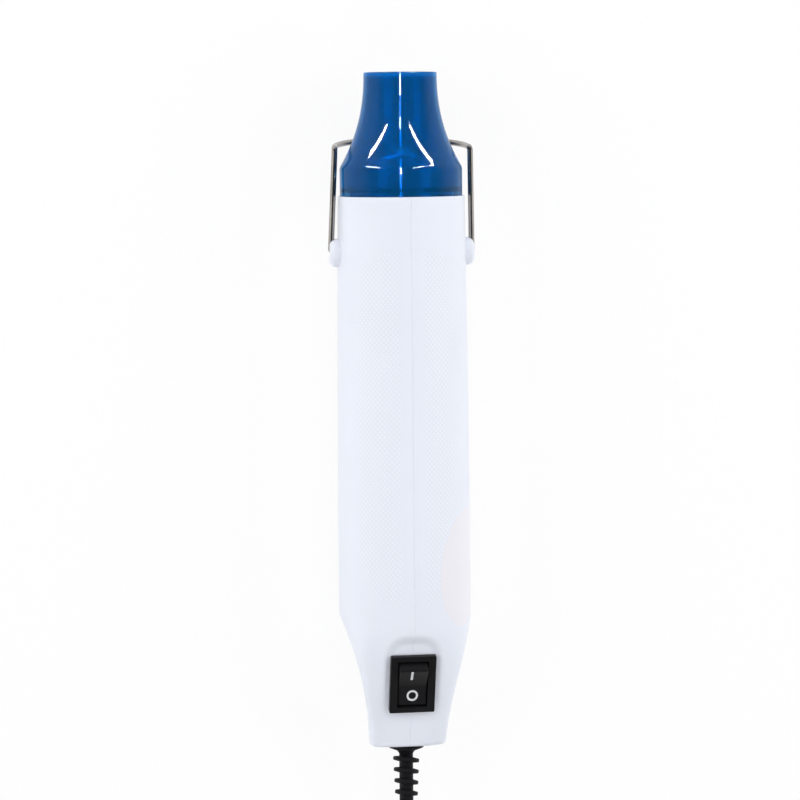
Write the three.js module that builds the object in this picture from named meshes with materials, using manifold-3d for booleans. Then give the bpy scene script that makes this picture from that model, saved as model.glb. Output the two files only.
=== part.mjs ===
// A slim hot air tool for craft work, lying on its back with the switch up.
//
// Millimetres, +Z up. The tool is modelled in its own frame, which the last lines place: Y runs along
// its axis from the tail end, where Y is 0, to the outlet, X points right and Z points to the switch.
// Parts: a two-half casing, a stepped steel barrel with the heater on a mica cross, a plastic outlet cap,
// a motor with its fan in a duct, a rocker switch, a wire stand in two ears, and the mains lead.
import * as THREE from 'three';
import { mergeVertices, toCreasedNormals } from 'three/addons/utils/BufferGeometryUtils.js';
import Module from 'manifold-3d';

const degrees = THREE.MathUtils.degToRad;
const between = THREE.MathUtils.lerp;

// Clearances
const runningGap = 0.3;
const tightGap = 0.15;

// Casing
const casingLength = 188.4;
const casingHalfWidth = 22.4;
const widestAt = 60;
const mouthHalfWidth = 21.45;
const casingBack = 21.7;
const frontShortfall = 0.1;
const casingWall = 1.8;
const backFlatWidth = 7;
const bodySquareness = 2.35;
const mouthSquareness = 2.1;
const mouthLip = 0.45;
const ringStepsPerQuarter = 6;
const bodySteps = 4;

// Tail of the casing, from the end to the crease
const creaseAt = 45;
const tailEndHalfWidth = 13.3;
const tailEndFront = 8.4;
const tailEndBack = 8.5;
const tailFrontSlope = 0.34;
const tailFrontBlend = 0.8;
const tailSideSweep = 1.7;
const tailBackSweep = 3.3;
const tailShoulder = 5;
const tailShoulderSweep = 4.2;
const tailFrontSquareness = 2.8;
const tailBackSquareness = 2.1;
const tailEndRadius = 1.9;
const tailWall = 2.2;
const tailSteps = 8;

// Sunk pad round the switch
const padTilt = degrees(15.8);
const padEndHeight = 8.4;
const padTopAt = 42;
const padWidth = 19.5;
const padCornerRadius = 4.5;

// Rocker switch, placed on the pad
const switchAt = 24.2;
const bezelWidth = 15;
const bezelLength = 21;
const bezelHeight = 1.9;
const bezelRadius = 1;
const housingWidth = 13;
const housingLength = 19;
const housingDepth = 13;
const rockerWidth = 9.2;
const rockerLength = 15.6;
const rockerCrown = 2.8;
const rockerPivotDepth = 1.4;
const rockerSkirtAngle = degrees(10);
const rockerFoot = 3.2;
const rockerFootWidth = 8;
const rockerWell = 6.5;
const rockerThrow = degrees(22);
const rockerPinRadius = 1.1;
const rockerPinReach = 0.9;
const tabWidth = 4.8;
const tabThickness = 0.8;
const tabLength = 7;
const tabSeat = 1.7;
const tabSpacing = 9;

// Outlet cap
const capLength = 41.6;
const capSkirtLength = 9.6;
const capSkirtRadius = 20.8;
const capRimRadius = 12.4;
const capFlareSweep = 2.25;
const capWall = 1.5;
const capRimWall = 1.2;
const capRimRounding = 0.4;
const spigotRadius = 19.1;
const spigotLength = 6.9;
const spigotWall = 1.7;
const capSegments = 30;
const capFlareSteps = 6;

// Steel barrel round the heater
const barrelRadius = 15.5;
const barrelWall = 0.5;
const barrelShoulderProud = 12.3;
const barrelShoulderLength = 4.3;
const outletTubeRadius = 10.7;
const outletTubeSunk = 2;
const barrelFlangeRadius = 18.6;
const barrelFlangeThickness = 0.8;
const tubeSegments = 24;

// Heater
const linerThickness = 0.4;
const linerShort = 5.7;
const crossEndGap = 1;
const crossThickness = 0.8;
const crossTabLength = 4.5;
const crossClearance = 0.4;
const crossTabDepth = 1.5;
const coilInset = 0.7;
const coilWireRadius = 0.7;
const coilPitch = 5.4;
const coilBottomGap = 6.6;
const coilTopGap = 7;
const coilStepsPerTurn = 10;
const coilSides = 5;
const coilBend = 1.4;
const coilReturnRadius = 5.6;
const coilLeadLength = 5.1;
const cutoutSize = new THREE.Vector3(5, 7, 3);
const cutoutAcross = 5.5;

// Fan duct with the motor cup in it
const shroudRadius = 18.5;
const shroudWall = 1.2;
const shroudAt = 90;
const shroudLength = 34.7;
const ductLength = 41;
const socketRadius = 17.4;
const socketDepth = 5.5;
const neckSlope = 1.8;
const ledgeWidth = 0.9;
const ledgeThickness = 1.5;
const throatLength = 3.5;
const ductFlangeRadius = 19.6;
const ductFlangeThickness = 1.4;
const ductFlangeAt = 93.9;
const cupLength = 14;
const cupWall = 1.25;
const cupLip = 1.4;
const cupLipRadius = 11;
const spokeCount = 4;
const spokeThickness = 1.4;
const spokeLength = 10;

// Motor and fan
const motorRadius = 13.85;
const motorLength = 36.3;
const motorChamfer = 0.9;
const motorEndCapRadius = 13.4;
const motorEndCapLength = 4.2;
const motorBossRadius = 5;
const motorBossLength = 1.5;
const shaftRadius = 1;
const shaftSunk = 5.5;
const shaftProud = 1;
const fanGap = 2;
const fanTipRadius = 16.4;
const fanHubRadius = 6.5;
const fanHubLength = 10;
const fanBlades = 7;
const fanBladeThickness = 1.1;
const fanBladeChord = 11;
const fanRootPitch = degrees(52);
const fanTipPitch = degrees(66);

// Rectifier
const boardRadius = 12;
const boardThickness = 1.6;
const boardStandOff = 4.6;
const motorTabSpacing = 15;
const motorTabWidth = 2.3;
const motorTabThickness = 0.5;
const motorTabLength = 7.8;
const diodeCount = 4;
const diodeRadius = 1.3;
const diodeLength = 5;
const diodeSpacing = 3.2;
const diodeStandOff = 2.2;
const diodeLegRadius = 0.35;
const diodeLegSpan = 8.4;
const diodeLegBend = 0.8;

// Ribs, bosses and screws of the casing
const ribThickness = 1.6;
const bossRadius = 2;
const headBossRadius = 2.9;
const headHoleRadius = 1.9;
const shankHoleRadius = 1.25;
const pilotRadius = 1;
const pilotDepth = 9;
const screwHeadRadius = 1.7;
const screwHeadLength = 1.5;
const screwShankRadius = 0.85;
const screwShankLength = 14;
const screwRecessWidth = 0.5;
const screwRecessLength = 2.2;
const screwRecessDepth = 0.8;
const screwSegments = 8;
const screwPlaces = [
  { along: casingLength - 28.4, height: -18.1, seat: 7.5 },
  { along: 78, height: -18.1, seat: 7.5 },
  { along: 44.2, height: -14.2, seat: 9 },
  { along: 17.4, height: -5.2, seat: 5.5 },
];

// Air intake slots in the scooped back of the tail
const slotRows = 5;
const slotPitch = 3.5;
const slotWidth = 1.8;
const slotFirstAt = 23.4;
const slotInner = 1.9;
const slotOuter = 8.4;

// Ears and wire stand
const earBelowMouth = 19.1;
const earRadius = 4.8;
const earReach = 24.8;
const earFillet = 2.2;
const wireRadius = 1;
const legPivotX = 24.2;
const legCornerX = 23.2;
const legProud = 16.1;
const standDepth = 20.4;
const standRise = degrees(11);
const standBend = 1.6;
const standSwing = degrees(110);
const pivotEndX = 20.2;
const crossbarStraight = degrees(14);
const crossbarSteps = 7;
const wireSides = 8;

// Strain relief and mains lead
const leadRadius = 1.6;
const reliefLength = 37.5;
const reliefBore = 1.8;
const reliefCore = 2.15;
const reliefCollarRadius = 6.3;
const reliefCollarEdge = 1.5;
const reliefFunnelRadius = 3.2;
const reliefFunnelLength = 1.2;
const reliefFunnelTip = 1.1;
const reliefNeckRadius = 3.2;
const reliefFlangeRadius = 5;
const reliefFlangeThickness = 2;
const reliefTip = 3;
const reliefFirstRibAt = 6;
const reliefRibPitch = 3.7;
const reliefRibRadius = 4.55;
const reliefRibTaper = 0.18;
const reliefRibRoot = 2;
const reliefRibTip = 0.8;
const reliefRibTilt = degrees(7.4);
const reliefRibLean = degrees(12.7);
const reliefSegments = 10;
const innerLeadEnd = 14;
const clampAt = 10;
const clampWidth = 4;
const clampThickness = 1.8;
const clampHeight = 12.6;
const clampScrewSpacing = 8.6;

// Put-away lead: layers of turns, which spiral in and out, and the plug beside them
const windLayers = 4;
const windTurnsPerLayer = 2.75;
const windMeanRadius = 19;
const windPitch = 3.7;
const windRise = 3.7;
const windAt = new THREE.Vector2(0, -107.5);
const windStartAngle = degrees(168);
const windClimb = 0.25;
const windStepsPerTurn = 20;
const windSides = 6;
const leadSides = 8;
const leadStep = 4;
const plugWidth = 24;
const plugThickness = 13;
const plugLength = 30;
const plugNeckRadius = 3.4;
const plugNeckLength = 8;
const plugAt = new THREE.Vector2(-11, -148);
const bladeWidth = 6.3;
const bladeThickness = 1.5;
const bladeLength = 17;
const bladeSpacing = 12.7;

// Internal wires
const wireCoreRadius = 0.7;
const wireCoreOffset = 0.85;
const wireCoreSides = 5;
const wireCoreStep = 4;
const heaterWireRadius = 19.9;
const heaterWireAngle = degrees(40);
const notchWidth = 2.4;

// Places that follow from the sizes
const capTop = casingLength + capLength;
const spigotEnd = casingLength - spigotLength;
const barrelFlangeAt = spigotEnd - runningGap - barrelFlangeThickness;
const barrelShoulderAt = casingLength + barrelShoulderProud;
const linerOuter = barrelRadius - barrelWall - runningGap;
const linerEnd = barrelShoulderAt - linerShort;
const ductEnd = shroudAt + ductLength;
const linerAt = ductEnd;
const crossAt = linerAt + crossEndGap;
const coilAt = crossAt + coilBottomGap;
const crossTabReach = linerOuter - linerThickness - crossClearance;
const crossArmReach = crossTabReach - crossTabDepth;
const crossLength = linerEnd - crossEndGap - crossAt;
const coilRadius = crossArmReach - coilInset;
const coilRoom = crossAt + crossLength - coilAt - coilTopGap;
const coilTurns = Math.floor(coilRoom / coilPitch - 0.5) + 0.5 + heaterWireAngle / Math.PI;
const earAt = casingLength - earBelowMouth;
const legLength = earBelowMouth + legProud;
const reliefRibs = Math.floor((reliefLength - reliefFirstRibAt - reliefTip) / reliefRibPitch) + 1;
const ledgeAt = ductEnd - socketDepth;
const cupEnd = shroudAt + cupLength;
const motorFront = cupEnd - cupLip - runningGap;
const motorAt = motorFront - motorLength;
const motorEndCapAt = motorAt - motorEndCapLength;
const boardAt = motorEndCapAt - boardStandOff - boardThickness;
const fanAt = motorFront + motorBossLength + fanGap;
const pinBoreEnd = rockerWidth / 2 + rockerPinReach + runningGap;
const floorHeight = -casingBack;

// Materials
const paint = {
  casing: { color: 0xe9ebf2, roughness: 0.45 },
  cap: { color: 0x0f5296, roughness: 0.12, transparent: true, opacity: 0.85 },
  steel: { color: 0xb9b8b4, roughness: 0.3, metalness: 1 },
  wire: { color: 0x8b8580, roughness: 0.25, metalness: 1 },
  mica: { color: 0xc9bfa5, roughness: 0.5 },
  heating: { color: 0x8d8782, roughness: 0.45, metalness: 1 },
  duct: { color: 0x2b2d30, roughness: 0.6 },
  fan: { color: 0xd8d4c8, roughness: 0.5 },
  board: { color: 0x3a6b42, roughness: 0.6 },
  black: { color: 0x141517, roughness: 0.4 },
  brass: { color: 0xc9a24f, roughness: 0.3, metalness: 1 },
  rubber: { color: 0x17171a, roughness: 0.6 },
  red: { color: 0x9c2a22, roughness: 0.5 },
  blue: { color: 0x28477f, roughness: 0.5 },
};

const wasm = await Module();
wasm.setup();

// A closed geometry as a solid whose faces point out.
function solid(geometry) {
  const loose = geometry.index ? geometry.toNonIndexed() : geometry;
  const bare = new THREE.BufferGeometry();
  bare.setAttribute('position', loose.getAttribute('position'));
  const merged = mergeVertices(bare, 1e-4);
  const corners = [];
  for (let i = 0; i < merged.index.count; i += 3) {
    const [a, b, c] = merged.index.array.slice(i, i + 3);
    if (a !== b && b !== c && c !== a) corners.push(a, b, c);
  }
  const make = (triVerts) =>
    new wasm.Manifold(
      new wasm.Mesh({ numProp: 3, vertProperties: merged.attributes.position.array, triVerts }),
    );
  const made = make(new Uint32Array(corners));
  return made.volume() < 0 ? make(new Uint32Array(corners.reverse())) : made;
}

// A solid's surface as a geometry with smooth curves and sharp edges.
function surface(made) {
  const mesh = made.getMesh();
  const geometry = new THREE.BufferGeometry();
  geometry.setAttribute('position', new THREE.BufferAttribute(mesh.vertProperties, 3));
  geometry.setIndex(new THREE.BufferAttribute(mesh.triVerts, 1));
  return toCreasedNormals(geometry, degrees(35));
}

const tool = new THREE.Group();

function addPiece(name, made, look, parent = tool) {
  const mesh = new THREE.Mesh(surface(made), new THREE.MeshStandardMaterial(look));
  mesh.name = name;
  parent.add(mesh);
  return mesh;
}

const joined = (solids) => solids.reduce((all, one) => all.add(one));

// The mirror image of a piece across the plane where X is 0.
const mirroredX = (made) => solid(surface(made).scale(-1, 1, 1));

// A block between two opposite corners.
function block(low, high) {
  const size = high.map((value, axis) => value - low[axis]);
  const middle = high.map((value, axis) => (value + low[axis]) / 2);
  return solid(new THREE.BoxGeometry(...size).translate(...middle));
}

// A body turned about the tool's axis, from a profile of [radius, place along Y].
function turned(profile, segments = tubeSegments) {
  const points = profile.map(([radius, along]) => new THREE.Vector2(radius, along));
  return solid(new THREE.LatheGeometry(points, segments));
}

// The same for a profile that closes on itself, as a ring or a tube has.
const turnedRing = (profile, segments) => turned([...profile, profile[0]], segments);

// A round hole or rod on the tool's axis.
function rodAlongY(radius, from, to, segments) {
  return turned([[0, from], [radius, from], [radius, to], [0, to]], segments);
}

// A rod along X, between two places on that axis.
function rodAlongX(radius, from, to, along, height, segments = screwSegments) {
  const rod = new THREE.CylinderGeometry(radius, radius, to - from, segments);
  return solid(rod.rotateZ(Math.PI / 2).translate((from + to) / 2, along, height));
}

// A smooth or bent line through its own points, which a tube follows step by step.
class PointRoute extends THREE.Curve {
  constructor(points) {
    super();
    this.points = points;
  }

  getPoint(t, target = new THREE.Vector3()) {
    const last = this.points.length - 1;
    const at = THREE.MathUtils.clamp(t, 0, 1) * last;
    const from = Math.min(Math.floor(at + 1e-9), last - 1);
    return target.lerpVectors(this.points[from], this.points[from + 1], at - from);
  }

  getPointAt(u, target) {
    return this.getPoint(u, target);
  }

  getTangentAt(u, target = new THREE.Vector3()) {
    const last = this.points.length - 1;
    const at = Math.round(THREE.MathUtils.clamp(u, 0, 1) * last);
    const before = this.points[Math.max(at - 1, 0)];
    const after = this.points[Math.min(at + 1, last)];
    return target.subVectors(after, before).normalize();
  }
}

// A closed round tube along a list of points.
function tube(points, radius, sides) {
  const circle = new THREE.Shape();
  for (let side = 0; side < sides; side++) {
    const angle = (2 * Math.PI * side) / sides;
    const place = [radius * Math.cos(angle), radius * Math.sin(angle)];
    if (side) circle.lineTo(...place);
    else circle.moveTo(...place);
  }
  const extrudePath = new PointRoute(points);
  return solid(new THREE.ExtrudeGeometry(circle, { steps: points.length - 1, extrudePath }));
}

// Evenly spread points of a smooth curve through a few chosen places.
function smoothRoute(places, step) {
  const curve = new THREE.CatmullRomCurve3(places);
  curve.arcLengthDivisions = 400;
  return curve.getSpacedPoints(Math.max(2, Math.round(curve.getLength() / step)));
}

// A bent rod's points: straight between the corners, with an arc of equal radius at each.
function bentRoute(corners, radius, arcSteps) {
  const points = [corners[0]];
  for (let i = 1; i < corners.length - 1; i++) {
    const toBefore = corners[i - 1].clone().sub(corners[i]).normalize();
    const toAfter = corners[i + 1].clone().sub(corners[i]).normalize();
    const half = toBefore.angleTo(toAfter) / 2;
    const inward = toBefore.clone().add(toAfter).normalize();
    const centre = corners[i].clone().addScaledVector(inward, radius / Math.sin(half));
    const start = corners[i].clone().addScaledVector(toBefore, radius / Math.tan(half)).sub(centre);
    const turn = new THREE.Vector3().crossVectors(toAfter, toBefore).normalize();
    for (let k = 0; k <= arcSteps; k++) {
      const angle = ((Math.PI - 2 * half) * k) / arcSteps;
      points.push(start.clone().applyAxisAngle(turn, angle).add(centre));
    }
  }
  points.push(corners.at(-1));
  return points;
}

// A loft through rings of equally many points, closed by a face at each end.
function loft(rings) {
  const count = rings[0].length;
  const faces = [];
  for (let ring = 0; ring < rings.length - 1; ring++) {
    for (let i = 0; i < count; i++) {
      const here = ring * count + i;
      const next = ring * count + ((i + 1) % count);
      faces.push(here, next, next + count, here, next + count, here + count);
    }
  }
  const last = (rings.length - 1) * count;
  for (let i = 1; i < count - 1; i++) {
    faces.push(0, i + 1, i, last, last + i, last + i + 1);
  }
  const geometry = new THREE.BufferGeometry();
  const places = rings.flat().flatMap((point) => point.toArray());
  geometry.setAttribute('position', new THREE.Float32BufferAttribute(places, 3));
  geometry.setIndex(faces);
  return solid(geometry);
}

// An outline in a plane, extruded along the plane's normal and placed by a matrix.
function extruded(shape, depth, place, curveSegments = 2) {
  const geometry = new THREE.ExtrudeGeometry(shape, { depth, bevelEnabled: false, curveSegments });
  return solid(geometry.applyMatrix4(place));
}

// The place of an outline drawn in the plane of Y and Z, and extruded along X from the given place.
function sideways(from, along = 0, height = 0) {
  const axes = [new THREE.Vector3(0, 1, 0), new THREE.Vector3(0, 0, 1), new THREE.Vector3(1, 0, 0)];
  return new THREE.Matrix4().makeBasis(...axes).setPosition(from, along, height);
}

function roundedRectangle(width, length, radius) {
  const shape = new THREE.Shape();
  const x = width / 2 - radius;
  const y = length / 2 - radius;
  shape.absarc(x, y, radius, 0, Math.PI / 2);
  shape.absarc(-x, y, radius, Math.PI / 2, Math.PI);
  shape.absarc(-x, -y, radius, Math.PI, 1.5 * Math.PI);
  shape.absarc(x, -y, radius, 1.5 * Math.PI, 2 * Math.PI);
  return shape;
}

// Casing form: half width, front and back of the section at a place along the axis
const tailShare = (along) => Math.min(1, along / creaseAt);
const mouthShare = (along) => Math.max(0, along - widestAt) / (casingLength - widestAt);

function casingHalfWidthAt(along) {
  const body = casingHalfWidth - (casingHalfWidth - mouthHalfWidth) * mouthShare(along) ** 2;
  const tail = (casingHalfWidth - tailEndHalfWidth) * tailShare(along) ** tailSideSweep;
  return along < creaseAt ? tailEndHalfWidth + tail : body;
}

function casingFrontAt(along) {
  const body = casingHalfWidthAt(Math.max(along, creaseAt)) - frontShortfall;
  const slope = tailEndFront + tailFrontSlope * along;
  return (body + slope - Math.hypot(body - slope, 2 * tailFrontBlend)) / 2;
}

const casingBackAt = (along) =>
  tailEndBack + (casingBack - tailEndBack) * tailShare(along) ** tailBackSweep;

// The height where the section is widest: just under the front in the tail, on the axis in the body.
function widestHeightAt(along) {
  const share = tailShare(along) ** tailShoulderSweep;
  const shoulder = tailShoulder + (casingFrontAt(creaseAt) - tailShoulder) * share;
  return share < 1 ? casingFrontAt(along) - shoulder : 0;
}

// The casing's section at one place, drawn in from its surface by an inset, as a ring of points.
function casingRing(along, inset, place = along) {
  const body = between(bodySquareness, mouthSquareness, mouthShare(along));
  const frontPower = 2 / between(tailFrontSquareness, body, tailShare(along));
  const backPower = 2 / between(tailBackSquareness, body, tailShare(along));
  const halfWidth = casingHalfWidthAt(along) - inset;
  const middle = widestHeightAt(along);
  const front = casingFrontAt(along) - inset - middle;
  const flatAngle = Math.acos((backFlatWidth / 2 / halfWidth) ** (1 / backPower));
  const back = (casingBackAt(along) - inset + middle) / Math.sin(flatAngle) ** backPower;
  const side = [];
  for (let i = 0; i <= ringStepsPerQuarter; i++) {
    const angle = (flatAngle * (ringStepsPerQuarter - i)) / ringStepsPerQuarter;
    const height = middle - back * Math.sin(angle) ** backPower;
    side.push([halfWidth * Math.cos(angle) ** backPower, height]);
  }
  for (let i = 1; i < ringStepsPerQuarter; i++) {
    const angle = (Math.PI / 2) * (i / ringStepsPerQuarter);
    const height = middle + front * Math.sin(angle) ** frontPower;
    side.push([halfWidth * Math.cos(angle) ** frontPower, height]);
  }
  const right = side.map(([x, z]) => new THREE.Vector3(x, place, z));
  const left = side.map(([x, z]) => new THREE.Vector3(-x, place, z)).reverse();
  const bottom = new THREE.Vector3(0, place, right[0].z);
  return [bottom, ...right, new THREE.Vector3(0, place, middle + front), ...left];
}

function casingStations() {
  const stations = [];
  for (let i = 1; i <= tailSteps; i++) {
    stations.push((creaseAt * i) / tailSteps);
  }
  for (let i = 1; i <= bodySteps; i++) {
    stations.push(creaseAt + ((casingLength - creaseAt) * i) / bodySteps);
  }
  return stations;
}

function casingOutside() {
  const rings = [];
  const endSteps = 3;
  for (let i = 0; i <= endSteps; i++) {
    const angle = (Math.PI / 2) * (i / endSteps);
    const inset = tailEndRadius * (1 - Math.sin(angle));
    rings.push(casingRing(tailEndRadius, inset, tailEndRadius * (1 - Math.cos(angle))));
  }
  for (const along of casingStations()) {
    if (along < casingLength) rings.push(casingRing(along, 0));
  }
  rings.push(casingRing(casingLength, 0, casingLength - mouthLip));
  rings.push(casingRing(casingLength, mouthLip, casingLength));
  return loft(rings);
}

// The same form drawn in by an inset, from a place in the tail end to one at the mouth.
function casingCore(inset, from, to) {
  const rings = [casingRing(from, inset)];
  for (const along of casingStations()) {
    if (along > 2 * from && along < casingLength) rings.push(casingRing(along, inset));
  }
  rings.push(casingRing(casingLength, inset, to));
  return loft(rings);
}

// The switch pad's own frame: X across, Y up the slope from the tail end, Z out of the pad.
const padPlace = new THREE.Matrix4()
  .makeTranslation(0, 0, padEndHeight)
  .multiply(new THREE.Matrix4().makeRotationX(padTilt));

const moved = (place, x, y, z) =>
  place.clone().multiply(new THREE.Matrix4().makeTranslation(x, y, z));

const switchPlace = moved(padPlace, 0, switchAt / Math.cos(padTilt), 0);

function padOutline(grow) {
  const top = padTopAt / Math.cos(padTilt) + grow;
  const side = padWidth / 2 + grow;
  const corner = padCornerRadius + grow;
  const shape = new THREE.Shape();
  shape.moveTo(-side, -padCornerRadius);
  shape.lineTo(side, -padCornerRadius);
  shape.absarc(side - corner, top - corner, corner, 0, Math.PI / 2);
  shape.absarc(corner - side, top - corner, corner, Math.PI / 2, Math.PI);
  return shape;
}

// A ring inside the casing that holds a round piece of the given radius.
function casingRib(from, radius) {
  const slab = block([-40, from, -40], [40, from + ribThickness, 40]);
  return slab.subtract(rodAlongY(radius + runningGap, from - 1, from + ribThickness + 1));
}

// A slot along a heater wire, on one side of the tool, between two radii and two places.
function wireNotch(side, inner, outer, from, to) {
  const slot = new THREE.BoxGeometry(outer - inner, to - from, notchWidth);
  slot.translate((inner + outer) / 2, (from + to) / 2, 0);
  return solid(slot.rotateY(side > 0 ? heaterWireAngle : Math.PI - heaterWireAngle));
}

// The swing of the wire leg in the ear's outer face, from the stowed place to the open one.
function legSweep() {
  const half = wireRadius + runningGap;
  const far = earRadius + 2;
  const open = new THREE.Vector2(Math.cos(standSwing), -Math.sin(standSwing));
  const aside = new THREE.Vector2(-Math.sin(standSwing), -Math.cos(standSwing));
  const sector = new THREE.Shape();
  sector.moveTo(far, half);
  sector.lineTo(0, half);
  sector.absarc(0, 0, half, Math.PI / 2, 1.5 * Math.PI - standSwing);
  sector.lineTo(far * open.x + half * aside.x, far * open.y + half * aside.y);
  sector.absarc(0, 0, Math.hypot(far, half), -standSwing, 0);
  return extruded(sector, far, sideways(legPivotX - wireRadius - runningGap, earAt), 3);
}

function ear() {
  const root = mouthHalfWidth - casingWall;
  const profile = [
    [0, root],
    [earRadius, root],
  ];
  const filletSteps = 3;
  for (let i = 0; i <= filletSteps; i++) {
    const angle = (Math.PI / 2) * (i / filletSteps);
    const inward = earFillet * (1 - Math.cos(angle));
    profile.push([earRadius - inward, earReach - earFillet * (1 - Math.sin(angle))]);
  }
  profile.push([0, earReach]);
  const points = profile.map(([radius, x]) => new THREE.Vector2(radius, x));
  const boss = new THREE.LatheGeometry(points, 18).rotateZ(-Math.PI / 2).translate(0, earAt, 0);
  return solid(boss).subtract(legSweep());
}

// What the outside of the casing is cut by: pad, switch hole, lead hole, pivots and air slots.
function casingCuts() {
  const holeLength = housingLength + 2 * runningGap;
  const switchHole = roundedRectangle(housingWidth + 2 * runningGap, holeLength, bezelRadius);
  const cuts = [
    extruded(padOutline(0), casingHalfWidth, padPlace),
    extruded(switchHole, 4 * casingWall, moved(switchPlace, 0, 0, -3 * casingWall)),
    rodAlongY(reliefNeckRadius + runningGap, -1, tailWall + 1),
    rodAlongX(wireRadius + runningGap, -earReach - 1, 3 - mouthHalfWidth, earAt, 0),
    rodAlongX(wireRadius + runningGap, mouthHalfWidth - 3, earReach + 1, earAt, 0),
  ];
  for (const side of [-1, 1]) {
    const across = [side * slotInner, side * slotOuter].sort((a, b) => a - b);
    for (let row = 0; row < slotRows; row++) {
      const from = slotFirstAt + row * slotPitch;
      const top = casingWall + 2.2 - casingBackAt(from);
      cuts.push(block([across[0], from, -2 * casingBack], [across[1], from + slotWidth, top]));
    }
    cuts.push(wireNotch(side, shroudRadius - 1, shroudRadius + 2.5, shroudAt, ductEnd - 11));
  }
  return joined(cuts);
}

// Both halves of the casing, split where X is 0.
function addCasing() {
  const inside = casingCore(casingWall, tailWall, casingLength + 1);
  const middle = casingCore(casingWall / 2, tailWall / 2, casingLength - casingWall);
  const padBack = moved(padPlace, 0, 0, -casingWall);
  const shell = joined([casingOutside().subtract(inside), ear(), mirroredX(ear())]);
  const inner = [
    extruded(padOutline(casingWall), 3 * casingWall, padBack),
    casingRib(ductFlangeAt - runningGap - ribThickness, shroudRadius),
    casingRib(ductFlangeAt + ductFlangeThickness + runningGap, shroudRadius),
    casingRib(shroudAt + shroudLength - 5 * ribThickness, shroudRadius),
    casingRib(barrelFlangeAt - runningGap - ribThickness, barrelRadius),
  ];
  const saddleX = -leadRadius - runningGap;
  const saddleLow = [-casingHalfWidth, clampAt - clampWidth / 2, -clampHeight / 2];
  const saddleHigh = [saddleX, clampAt + clampWidth / 2, clampHeight / 2];
  const leftParts = [block(saddleLow, saddleHigh)];
  const rightParts = [];
  const leftHoles = clampScrewHeights().map((height) =>
    rodAlongX(pilotRadius, saddleX - pilotDepth, saddleX + 1, clampAt, height),
  );
  const rightHoles = [];
  for (const { along, height, seat } of screwPlaces) {
    leftParts.push(rodAlongX(bossRadius, -casingHalfWidth, 0, along, height));
    rightParts.push(rodAlongX(bossRadius, 0, seat, along, height));
    rightParts.push(rodAlongX(headBossRadius, seat - casingWall, casingHalfWidth, along, height));
    leftHoles.push(rodAlongX(pilotRadius, -pilotDepth, 1, along, height));
    rightHoles.push(rodAlongX(shankHoleRadius, -1, seat + 1, along, height));
    rightHoles.push(rodAlongX(headHoleRadius, seat, 2 * casingHalfWidth, along, height));
  }
  const cuts = casingCuts();
  const half = (parts, holes, low, high) =>
    shell
      .add(middle.intersect(joined([...inner, ...parts])))
      .subtract(cuts)
      .subtract(joined(holes))
      .intersect(block([low, -5, -40], [high, casingLength + 5, 40]));
  addPiece('casing_left', half(leftParts, leftHoles, -40, 0), paint.casing);
  addPiece('casing_right', half(rightParts, rightHoles, 0, 40), paint.casing);
}

// The cap's outer radius, from the top of its skirt to the rim
function capRadiusAt(along) {
  const share = (along - casingLength - capSkirtLength) / (capLength - capSkirtLength);
  return capRimRadius + (capSkirtRadius - capRimRadius) * (1 - share) ** capFlareSweep;
}

function addCap() {
  const skirtTop = casingLength + capSkirtLength;
  const rimStart = capTop - capRimRounding;
  const outer = [];
  const inner = [];
  for (let i = 0; i <= capFlareSteps; i++) {
    const share = i / capFlareSteps;
    const along = between(skirtTop, rimStart, share);
    const radius = capRadiusAt(along);
    outer.push([radius, along]);
    inner.unshift([radius - between(capWall, capRimWall, share), along]);
  }
  const spigotInner = spigotRadius - spigotWall;
  const skirtInner = capSkirtRadius - capWall;
  const profile = [
    [spigotInner, spigotEnd],
    [spigotRadius, spigotEnd],
    [spigotRadius, casingLength],
    [capSkirtRadius, casingLength],
    ...outer,
    [capRimRadius - capRimRounding, capTop],
    [capRimRadius - capRimWall + capRimRounding, capTop],
    ...inner,
    [skirtInner, casingLength + 2 * capWall],
    [spigotInner, casingLength + capWall],
  ];
  addPiece('nozzle_cap', turnedRing(profile, capSegments), paint.cap);
}

// The drawn barrel, with a flange that the cap's spigot traps against a casing rib
function addBarrel() {
  const bottom = ledgeAt + runningGap;
  const top = capTop - outletTubeSunk;
  const shoulderTop = barrelShoulderAt + barrelShoulderLength;
  const step = barrelRadius - outletTubeRadius;
  const inside = barrelWall;
  const profile = [
    [barrelRadius - inside, bottom],
    [barrelRadius, bottom],
    [barrelRadius, barrelFlangeAt],
    [barrelFlangeRadius, barrelFlangeAt],
    [barrelFlangeRadius, barrelFlangeAt + barrelFlangeThickness],
    [barrelRadius, barrelFlangeAt + barrelFlangeThickness],
    [barrelRadius, barrelShoulderAt],
    [barrelRadius - 0.19 * step, barrelShoulderAt + 0.35 * barrelShoulderLength],
    [barrelRadius - 0.69 * step, barrelShoulderAt + 0.67 * barrelShoulderLength],
    [outletTubeRadius, shoulderTop],
    [outletTubeRadius, top],
    [outletTubeRadius - inside, top],
    [outletTubeRadius - inside, shoulderTop - 0.4 * inside],
    [barrelRadius - 0.75 * step, barrelShoulderAt + 0.58 * barrelShoulderLength],
    [barrelRadius - 0.27 * step, barrelShoulderAt + 0.27 * barrelShoulderLength],
    [barrelRadius - inside, barrelShoulderAt - 0.4 * inside],
  ];
  addPiece('barrel', turnedRing(profile), paint.steel);
}

// Where the heating coil crosses the four arms of the cross, by the arm's angle
function coilCrossings(armAngle) {
  const first = (armAngle + heaterWireAngle) / (2 * Math.PI);
  const places = [];
  for (let turn = first; turn < coilTurns; turn++) {
    places.push(coilAt + coilPitch * turn);
  }
  return places;
}

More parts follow.
